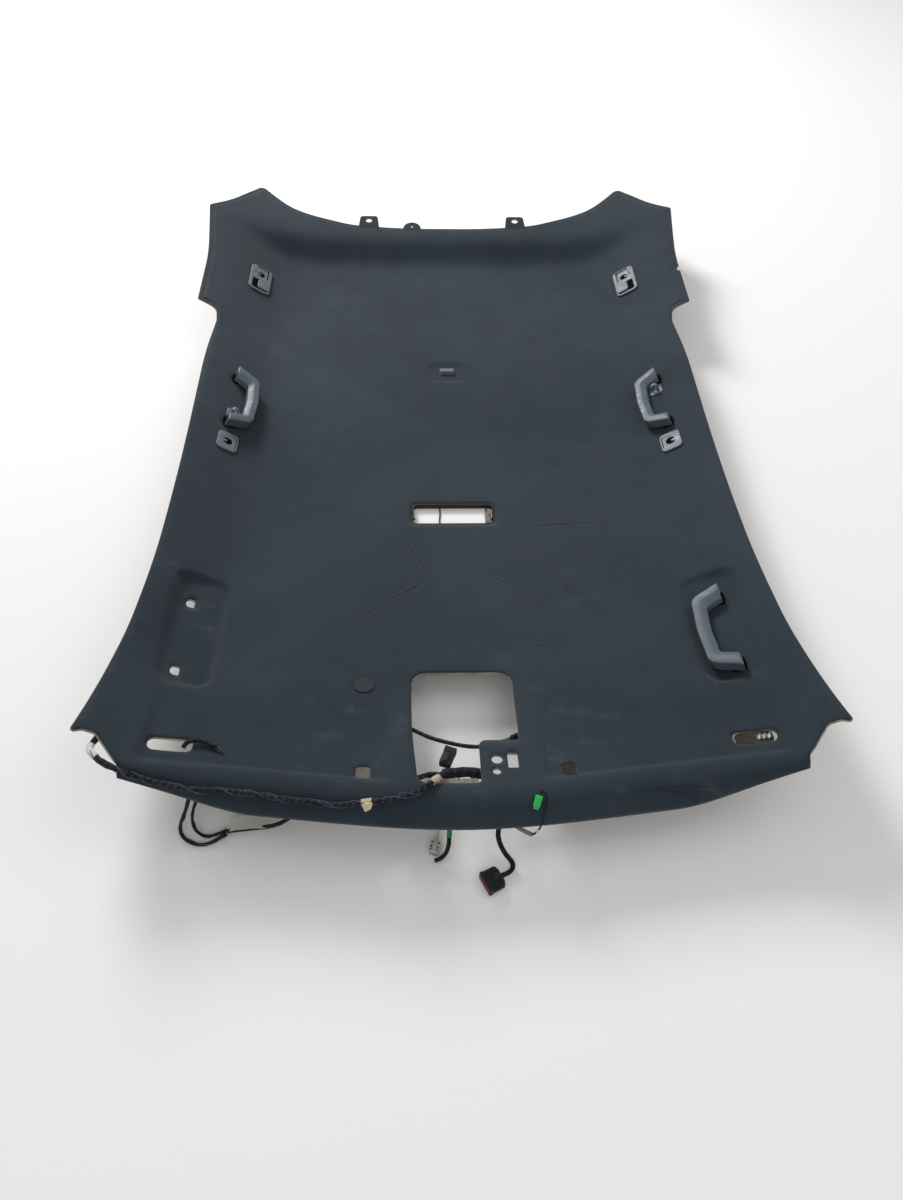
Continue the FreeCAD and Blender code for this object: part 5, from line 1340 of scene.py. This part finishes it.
# each cord: its CAD node, its diameter and its route in metres
cordPlan = {
    "harness_trunk": (0.009, [
        (-0.56, -0.838, 0.112), (-0.571, -0.87, 0.122), (-0.585, -0.903, 0.137), (-0.587, -0.93, 0.151),
        (-0.568, -0.948, 0.155), (-0.545, -0.961, 0.149), (-0.519, -0.968, 0.138), (-0.491, -0.972, 0.127),
        (-0.463, -0.977, 0.121), (-0.421, -0.984, 0.116), (-0.375, -0.985, 0.116), (-0.33, -0.991, 0.114),
        (-0.286, -0.998, 0.111), (-0.24, -1.005, 0.111), (-0.196, -1.011, 0.111), (-0.158, -1.008, 0.115),
        (-0.12, -1.006, 0.118), (-0.088, -0.999, 0.12), (-0.067, -0.987, 0.1205), (-0.051, -0.972, 0.1165),
        (-0.037, -0.9532, 0.1068)]),
    "harness_bundle": (0.017, [
        (-0.038, -0.951, 0.096), (-0.014, -0.944, 0.09), (0.01, -0.941, 0.086), (0.032, -0.946, 0.082)]),
    "harness_link": (0.009, [
        (0.0325, -0.9461, 0.0819), (0.05, -0.9501, 0.0787), (0.062, -0.966, 0.074), (0.063, -0.988, 0.067),
        (0.056, -1.008, 0.06)]),
    "bundle_branch": (0.009, [
        (-0.118, -0.962, 0.082), (-0.097, -0.957, 0.084), (-0.075, -0.95, 0.087), (-0.057, -0.947, 0.091),
        (-0.0413, -0.9518, 0.0951)]),
    "console_lead": (0.007, [
        (-0.112, -0.838, 0.0728), (-0.086, -0.847, 0.065), (-0.058, -0.863, 0.065), (-0.03, -0.873, 0.066),
        (0, -0.881, 0.066), (0.028, -0.883, 0.066), (0.05, -0.877, 0.066), (0.07, -0.871, 0.066),
        (0.092, -0.862, 0.067), (0.112, -0.856, 0.0765)]),
    "lead_floor_black": (0.008, [
        (0.0555, -1.0089, 0.059), (0.047, -1.024, 0.046), (0.05, -1.038, 0.032), (0.06, -1.052, 0.018),
        (0.073, -1.062, 0.008), (0.07, -1.073, 0.006), (0.061, -1.079, 0.007), (0.0522, -1.083, 0.0087)]),
    "lead_grey_left": (0.007, [
        (-0.022, -0.9534, 0.0846), (-0.025, -0.974, 0.072), (-0.028, -1, 0.058), (-0.029, -1.026, 0.044),
        (-0.03, -1.042, 0.028), (-0.038, -1.052, 0.011), (-0.052, -1.055, 0.006)]),
    "lead_white_left": (0.004, [
        (-0.031, -0.9559, 0.0887), (-0.033, -0.975, 0.069), (-0.038, -0.992, 0.049), (-0.045, -1.008, 0.026),
        (-0.0482, -1.0208, 0.009)]),
    "foam_sleeve": (0.007, [
        (0.0657, -1.004, 0.064), (0.071, -1.024, 0.067), (0.083, -1.036, 0.069), (0.098, -1.045, 0.072)]),
    "lead_green": (0.003, [
        (0.0988, -1.0455, 0.0724), (0.106, -1.047, 0.084), (0.114, -1.037, 0.1), (0.118, -1.022, 0.111),
        (0.12, -1.01, 0.116), (0.12, -1.002, 0.119), (0.117, -0.997, 0.1205), (0.113, -0.9965, 0.12),
        (0.1094, -1.0022, 0.1173)]),
    "loop_outer": (0.006, [
        (-0.437, -0.938, 0.1048), (-0.438, -0.953, 0.086), (-0.443, -0.968, 0.062), (-0.452, -0.984, 0.042),
        (-0.463, -0.993, 0.018), (-0.461, -1.004, 0.005), (-0.446, -1.016, 0.004), (-0.425, -1.021, 0.004),
        (-0.406, -1.015, 0.005), (-0.3883, -1.0036, 0.01)]),
    "loop_inner": (0.005, [
        (-0.427, -0.938, 0.1035), (-0.428, -0.953, 0.083), (-0.433, -0.968, 0.058), (-0.441, -0.981, 0.038),
        (-0.443, -0.992, 0.016), (-0.434, -1.001, 0.005), (-0.418, -1.006, 0.004), (-0.402, -1.003, 0.007),
        (-0.3883, -0.9978, 0.0108)]),
    "loop_tail": (0.007, [
        (-0.387, -1.0006, 0.0108), (-0.362, -1, 0.016), (-0.338, -1.002, 0.024), (-0.314, -1.005, 0.034),
        (-0.292, -1.004, 0.046), (-0.272, -0.995, 0.06), (-0.254, -0.976, 0.078), (-0.244, -0.954, 0.0915)]),
    "visor_stub": (0.008, [
        (-0.458, -0.892, 0.094), (-0.454, -0.89, 0.101), (-0.442, -0.886, 0.105), (-0.422, -0.887, 0.1018),
        (-0.404, -0.897, 0.1001)]),
    "dome_lead_left": (0.003, [
        (-0.031, -0.34, 0.0022), (-0.027, -0.31, 0.0022), (-0.03, -0.275, 0.0022), (-0.026, -0.245, 0.0023),
        (-0.031, -0.219, 0.0024)]),
    "dome_lead_right": (0.003, [
        (0.07, -0.34, 0.0022), (0.074, -0.31, 0.0022), (0.071, -0.275, 0.0022), (0.075, -0.245, 0.0023),
        (0.07, -0.219, 0.0024)]),
}
# each cord's finish, lay, far end and stiffness
cordLook = {
    "harness_trunk": ("loom", "loose", "object", "medium"),
    "harness_bundle": ("braid", "short", "object", "medium"),
    "harness_link": ("loom", "loose", "object", "medium"),
    "bundle_branch": ("braid", "loose", "object", "medium"),
    "console_lead": ("wires", "loose", "object", "medium"),
    "lead_floor_black": ("braid", "hanging", "connector", "medium"),
    "lead_grey_left": ("braid", "hanging", "bare", "medium"),
    "lead_white_left": ("pale", "hanging", "connector", "limp"),
    "foam_sleeve": ("foam", "loose", "object", "medium"),
    "lead_green": ("wires", "loose", "connector", "limp"),
    "loop_outer": ("wires", "hanging", "object", "limp"),
    "loop_inner": ("wires", "hanging", "object", "limp"),
    "loop_tail": ("wires", "loose", "object", "medium"),
    "visor_stub": ("braid", "loose", "object", "medium"),
    "dome_lead_left": ("wires", "loose", "object", "limp"),
    "dome_lead_right": ("wires", "loose", "object", "limp"),
}


# connectors: housings with ribs, latches and faces, in the part's places for them, and the tape flag
def plugSeat(middle, heading):
    way = np.array(heading, dtype=float)
    way /= np.linalg.norm(way)
    up = np.array([0.0, 0.0, 1.0])
    up = up - way * up.dot(way)
    up /= np.linalg.norm(up)
    return np.array(middle, dtype=float), np.stack([way, np.cross(up, way), up])


# each connector: piece, CAD node, middle, heading, finishes, slot, and boxes of corner, size, edge and finish
# the near-black boxes on the connectors' faces are painted shade in their terminal openings
plugPlan = [
    ("floor_plug_black", "floor_connector_black", (38.0, -1090.0, 9.5), (20.0, 10.0, 0.0),
     ["dark", "red", "shadeWell"], "dark_plastic",
     [((-12.0, -16.5, -7.5), (26.0, 33.0, 13.5), 2.2, 0), ((-15.0, -18.0, -9.0), (7.0, 36.0, 17.0), 1.6, 0),
      ((-15.6, -14.5, -6.0), (1.5, 29.0, 10.5), 0.5, 1), ((0.0, -5.5, 5.5), (13.0, 11.0, 3.0), 1.0, 0),
      ((13.0, -12.0, -5.5), (2.6, 24.0, 10.0), 0.8, 0)]
     + [((-7.0, y, 5.6), (19.0, 1.6, 1.5), 0.4, 0) for y in (-14.5, -10.5, 9.0, 13.0)]
     + [((-8.0, side * 17.4 - 0.8, -4.0), (20.0, 1.6, 8.0), 0.5, 0) for side in (-1, 1)]
     + [((-16.0, y, -3.5), (0.9, 2.2, 5.0), 0.3, 2) for y in (-11.5, -7.0, -2.5, 2.0, 6.5)]),
    ("floor_plug_grey", "floor_connector_grey", (-52.0, -1033.0, 8.0), (0.3, 1.0, 0.0),
     ["white", "shadeWell"], "white_plastic",
     [((-9.0, -8.0, -7.0), (20.0, 16.0, 13.0), 1.2, 0), ((-11.0, -7.2, -6.2), (3.0, 14.4, 11.4), 0.6, 0),
      ((-4.0, -3.0, 5.4), (11.0, 6.0, 1.6), 0.6, 0)]
     + [((-11.3, y, z), (0.8, 2.6, 2.6), 0.3, 1) for y in (-5.8, -1.3, 3.2) for z in (-4.6, 0.4)]
     + [((x, y, 5.7), (2.6, 2.4, 0.8), 0.3, 1) for x in (-8.0, -3.0, 4.5) for y in (-6.4, 4.0)]),
    ("roll_plug_green", "roll_connector_green", (106.0, -1012.0, 113.0), (0.35, 1.0, 0.45),
     ["green", "shadeWell"], "green_plastic",
     [((-7.0, -5.5, -4.5), (18.0, 11.0, 8.2), 1.0, 0), ((-11.0, -4.2, -3.6), (5.0, 8.4, 6.4), 0.8, 0),
      ((-2.0, -2.0, 3.2), (9.0, 4.0, 1.4), 0.5, 0), ((-11.2, -2.4, -1.8), (0.8, 4.8, 3.2), 0.3, 1),
      ((6.0, -5.9, -2.5), (4.6, 11.8, 4.6), 0.5, 0)]),
    ("bundle_plug", "bundle_connector", (-30.0, -919.8, 97.0), (0.4, 1.0, 0.0),
     ["dark", "shadeWell"], "dark_plastic",
     [((-16.0, -9.4, -8.0), (24.0, 18.8, 14.0), 1.8, 0), ((6.0, -10.0, -7.0), (11.0, 20.0, 13.5), 1.2, 0),
      ((-12.0, -4.0, 5.6), (16.0, 8.0, 2.4), 0.9, 0), ((16.0, -7.5, -4.5), (1.2, 15.0, 9.0), 0.4, 1)]
     + [((x, -9.9, -6.0), (1.4, 19.8, 11.0), 0.4, 0) for x in (-11.0, -6.0, -1.0)]),
]
flagShape = {"middle": (-350.0, -994.0, 27.0), "heading": (24.0, -1.0, 8.0), "long": 66.0, "half": 12.0,
             "rows": 15}


def makePlugs():
    for piece, node, middle, heading, looks, slot, boxes in plugPlan:
        parts = [(block(corner, size, edge), finish) for corner, size, edge, finish in boxes]
        hardware(piece, plugSeat(middle, heading), parts, looks, replaced=node)


def makeFlag():
    p = flagShape
    half, last = p["half"], p["rows"] - 1
    rows = []
    for k in range(p["rows"]):
        x = -p["long"] / 2 + p["long"] * k / last
        lift = 3.0 * sin(k / last * pi * 1.3 + 0.4) - 1.5
        rows.append([(x, -half + 0.4 * sin(k * 0.9), lift + 1.2), (x, -6.0, lift + 0.2), (x, 0.0, lift),
                     (x, 6.0, lift + 0.4), (x, half + 0.5 * sin(k * 1.3 + 1.0), lift + 1.6),
                     (x, 6.0, lift + 0.9), (x, 0.0, lift + 0.5), (x, -6.0, lift + 0.7)])
    hardware("loop_flag", plugSeat(p["middle"], p["heading"]), [(loft(rows), 0)], ["whiteTape"],
             replaced="loop_tag")


# what lies on the cords: tapes, sleeves, loose strands and frayed ends
def spotOn(line, target):
    far = runsOf(line)
    return float(far[int(np.argmin(np.linalg.norm(line - np.array(target), axis=1)))])


# each tape: its cord, its piece, the place it is nearest to, length, radius, finish and slot
tapePlan = [
    ("harness_trunk", "pillar_tape", (-0.583, -0.936, 0.152), 0.034, 0.0056, "whiteTape", "white_tape"),
    ("harness_trunk", "trunk_tape_middle", (-0.157, -1.008, 0.115), 0.016, 0.0056, "beige", "white_tape"),
    ("harness_trunk", "trunk_tape_end", (-0.050, -0.971, 0.116), 0.017, 0.0058, "beige", "white_tape"),
    ("harness_trunk", "trunk_tape_dark", (-0.40, -0.984, 0.116), 0.05, 0.0051, "braid", "wrapped_loom"),
    ("console_lead", "console_sleeve_wrap", (0.096, -0.861, 0.069), 0.036, 0.0056, "braid", "wrapped_loom"),
    ("console_lead", "console_green_tape", (0.071, -0.871, 0.066), 0.008, 0.0040, "greenTape", "green_plastic"),
    ("console_lead", "console_white_tape", (0.044, -0.879, 0.066), 0.009, 0.0039, "whiteTape", "white_tape"),
    ("lead_grey_left", "lead_green_tape", (-0.029, -1.022, 0.046), 0.024, 0.0041, "greenTape", "green_plastic"),
    ("lead_green", "lead_white_wrap", (0.1065, -1.0468, 0.085), 0.007, 0.0021, "whiteTape", "white_tape"),
    ("loop_outer", "loop_joint_wrap", (-0.39, -1.0046, 0.0095), 0.014, 0.0042, "braid", "wrapped_loom"),
]
# each loose strand: its cord, distance from the cord's middle, pitch, phase and finish
strandPlan = [
    ("harness_trunk", 0.0050, 0.07, 0.0, "strand"), ("harness_trunk", 0.0048, 0.11, 2.1, "strand"),
    ("harness_trunk", 0.0050, 0.09, 4.0, "wires"), ("harness_bundle", 0.0086, 0.05, 1.0, "wires"),
    ("harness_bundle", 0.0088, 0.04, 3.3, "wires"), ("bundle_branch", 0.0048, 0.06, 0.5, "strand"),
    ("loop_outer", 0.0032, 0.06, 0.3, "strand"), ("loop_inner", 0.0028, 0.05, 1.7, "wires"),
]


def strandLine(line, radius, pitch, phase, start, end):
    spots, far = evenly(line, 0.004)
    heading = np.gradient(spots, axis=0)
    heading /= np.linalg.norm(heading, axis=1)[:, None]
    side = np.cross(heading[0], (0.0, 0.0, 1.0))
    out = []
    for spot, way, s in zip(spots, heading, far):
        side = side - way * side.dot(way)
        side /= np.linalg.norm(side)
        turn = 2 * pi * s / pitch + phase + 0.6 * sin(s * 60.0 + phase)
        lift = radius * (1.0 + 0.12 * sin(s * 95.0 + phase * 2))
        if start <= s <= end:
            out.append(spot + lift * (side * cos(turn) + np.cross(way, side) * sin(turn)))
    return np.array(out)


detailSizes = {
    "strand": 0.0008, "strandStep": 0.003, "strandEnds": 0.012, "wire": 0.0009,
    "wireSpread": (0.004, 0.004, 0.0012),
    "flagAt": (-0.157, -1.010, 0.119), "flagThick": 0.0008,
    "flag": [(0.0, 0.0, 0.0), (0.010, -0.004, 0.003), (0.007, -0.013, 0.001), (-0.002, -0.016, -0.002),
             (-0.007, -0.006, 0.001)],
    "frayed": [("visor_stub", (-0.404, -0.897, 0.1001), (0.010, -0.0085, -0.0005), 5),
               ("lead_floor_black", (0.0522, -1.083, 0.0087), (-0.004, -0.003, 0.001), 4)],
}


def addTapes(lines, extra):
    for cord, name, target, long, radius, finish, slot in tapePlan:
        middle = spotOn(lines[cord], target)
        run = partOf(lines[cord], max(middle - long / 2, 0.001), middle + long / 2)
        tube(name, run, radius, finishes[finish], step=0.002, lumps=0.05)
        extra.setdefault(cord, []).append(name)


def addStrands(lines, extra):
    p = detailSizes
    for k, (cord, radius, pitch, phase, finish) in enumerate(strandPlan):
        whole = np.linalg.norm(np.diff(lines[cord], axis=0), axis=1).sum()
        run = strandLine(lines[cord], radius, pitch, phase, p["strandEnds"], whole - p["strandEnds"])
        name = "%s_strand%d" % (cord, k)
        tube(name, run, p["strand"], finishes[finish], sides=6, step=p["strandStep"])
        extra.setdefault(cord, []).append(name)


def addFlag(extra):
    p = detailSizes
    rim = [np.array(p["flagAt"]) + np.array(place) for place in p["flag"]]
    lifted = [place + np.array([0.0, 0.0, p["flagThick"]]) for place in rim]
    sides = [(i, (i + 1) % 5, 5 + (i + 1) % 5, 5 + i) for i in range(5)]
    meshObject("trunk_tape_flag", rim + lifted, [(4, 3, 2, 1, 0), (5, 6, 7, 8, 9)] + sides, [finishes["beige"]],
               smooth=False)
    extra["harness_trunk"].append("trunk_tape_flag")


def addFrayedWires(extra):
    p = detailSizes
    for cord, place, way, count in p["frayed"]:
        for k in range(count):
            spread = rng.uniform(-1.0, 1.0, 3) * np.array(p["wireSpread"])
            first = np.array(place) - np.array(way) * 0.8 + spread * 0.3
            last = np.array(place) + np.array(way) * (0.8 + 0.3 * (k % 3)) + spread
            middle = (first + last) / 2 + spread * 0.5
            line = np.array([curveAt(t, first, middle, last) for t in np.linspace(0.0, 1.0, 8)])
            name = "%s_wire%d" % (cord, k)
            tube(name, line, p["wire"], finishes["strand" if k % 2 else "wires"], sides=6, step=0.002)
            extra.setdefault(cord, []).append(name)


makePlugs()
makeFlag()
print("connectors made")


def makeCords():
    lines, made = {}, {}
    for node, (diameter, points) in cordPlan.items():
        line = routeLine(node, points)
        look = cordLook[node][0]
        lines[node] = line
        lumps = 0.09 if node in ("harness_trunk", "harness_bundle", "bundle_branch") else 0.03
        made[node] = tube(node + "_cord", line, diameter / 2, finishes[look], lumps=lumps)
        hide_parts(node)
    extra = {}
    addTapes(lines, extra)
    addStrands(lines, extra)
    addFlag(extra)
    addFrayedWires(extra)
    extra["harness_trunk"] += extra.pop("harness_bundle", [])


makeCords()
print("cords made")


# what each kept CAD node is finished in
nodeFinish = {
    # handle_foot takes the near-black painted shade finish, for the dark sockets under the handles
    "handle_foot": "shadeWell", "handle_pin": "steel", "centre_clip": "trim", "dome_retainer": "brown",
    "hole_plug": "cap", "pillar_connector": "dark",
    "visor_bracket": "brown", "visor_contact": "steel", "visor_clip": "brown", "dome_clip": "dark",
    "felt_pad": "felt",
}


def finishNodes():
    for node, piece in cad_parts.items():
        for start, finish in nodeFinish.items():
            if node.startswith(start):
                for i in range(len(piece.material_slots)):
                    piece.material_slots[i].material = finishes[finish]


finishNodes()
print("nodes finished")

# stage: a pale floor, and soft light from above with its stronger side at the left rear
stageLook = {"floor": linearShade(250, 250, 249), "floorHalf": 14.0, "worldLight": 0.40,
             "lamps": [((-2.2, 4.0, 3.0), 1.8, 250.0), ((3.0, 0.5, 4.0), 3.5, 36.0),
                       ((0.0, -4.5, 3.2), 3.5, 34.0)]}


def makeStage():
    look = stageLook
    half = look["floorHalf"]
    material = bpy.data.materials.new("paleFloor")
    material.use_nodes = True
    shader = material.node_tree.nodes["Principled BSDF"]
    shader.inputs["Base Color"].default_value = look["floor"]
    shader.inputs["Roughness"].default_value = 0.95
    mesh = bpy.data.meshes.new("floor")
    mesh.from_pydata([(-half, -half, 0), (half, -half, 0), (half, half, 0), (-half, half, 0)], [], [(0, 1, 2, 3)])
    mesh.materials.append(material)
    floor = bpy.data.objects.new("floor", mesh)
    scene.collection.objects.link(floor)
    for i, (place, size, power) in enumerate(look["lamps"]):
        data = bpy.data.lights.new("softLamp%d" % i, "AREA")
        data.size = size
        data.energy = power
        lamp = bpy.data.objects.new("softLamp%d" % i, data)
        lamp.location = place
        lamp.rotation_euler = (-Vector(place)).to_track_quat("-Z", "Y").to_euler()
        scene.collection.objects.link(lamp)
    world = bpy.data.worlds.new("paleRoom")
    world.use_nodes = True
    tree = world.node_tree
    sky = tree.nodes["Background"]
    sky.inputs["Color"].default_value = (1.0, 1.0, 1.0, 1.0)
    seen = tree.nodes.new("ShaderNodeLightPath").outputs["Is Camera Ray"]
    wire(tree, remap(tree, seen, 0.0, 1.0, look["worldLight"], 1.0, "LINEAR"), sky.inputs["Strength"])
    scene.world = world
    scene.view_settings.view_transform = "Standard"


makeStage()
print("stage made")
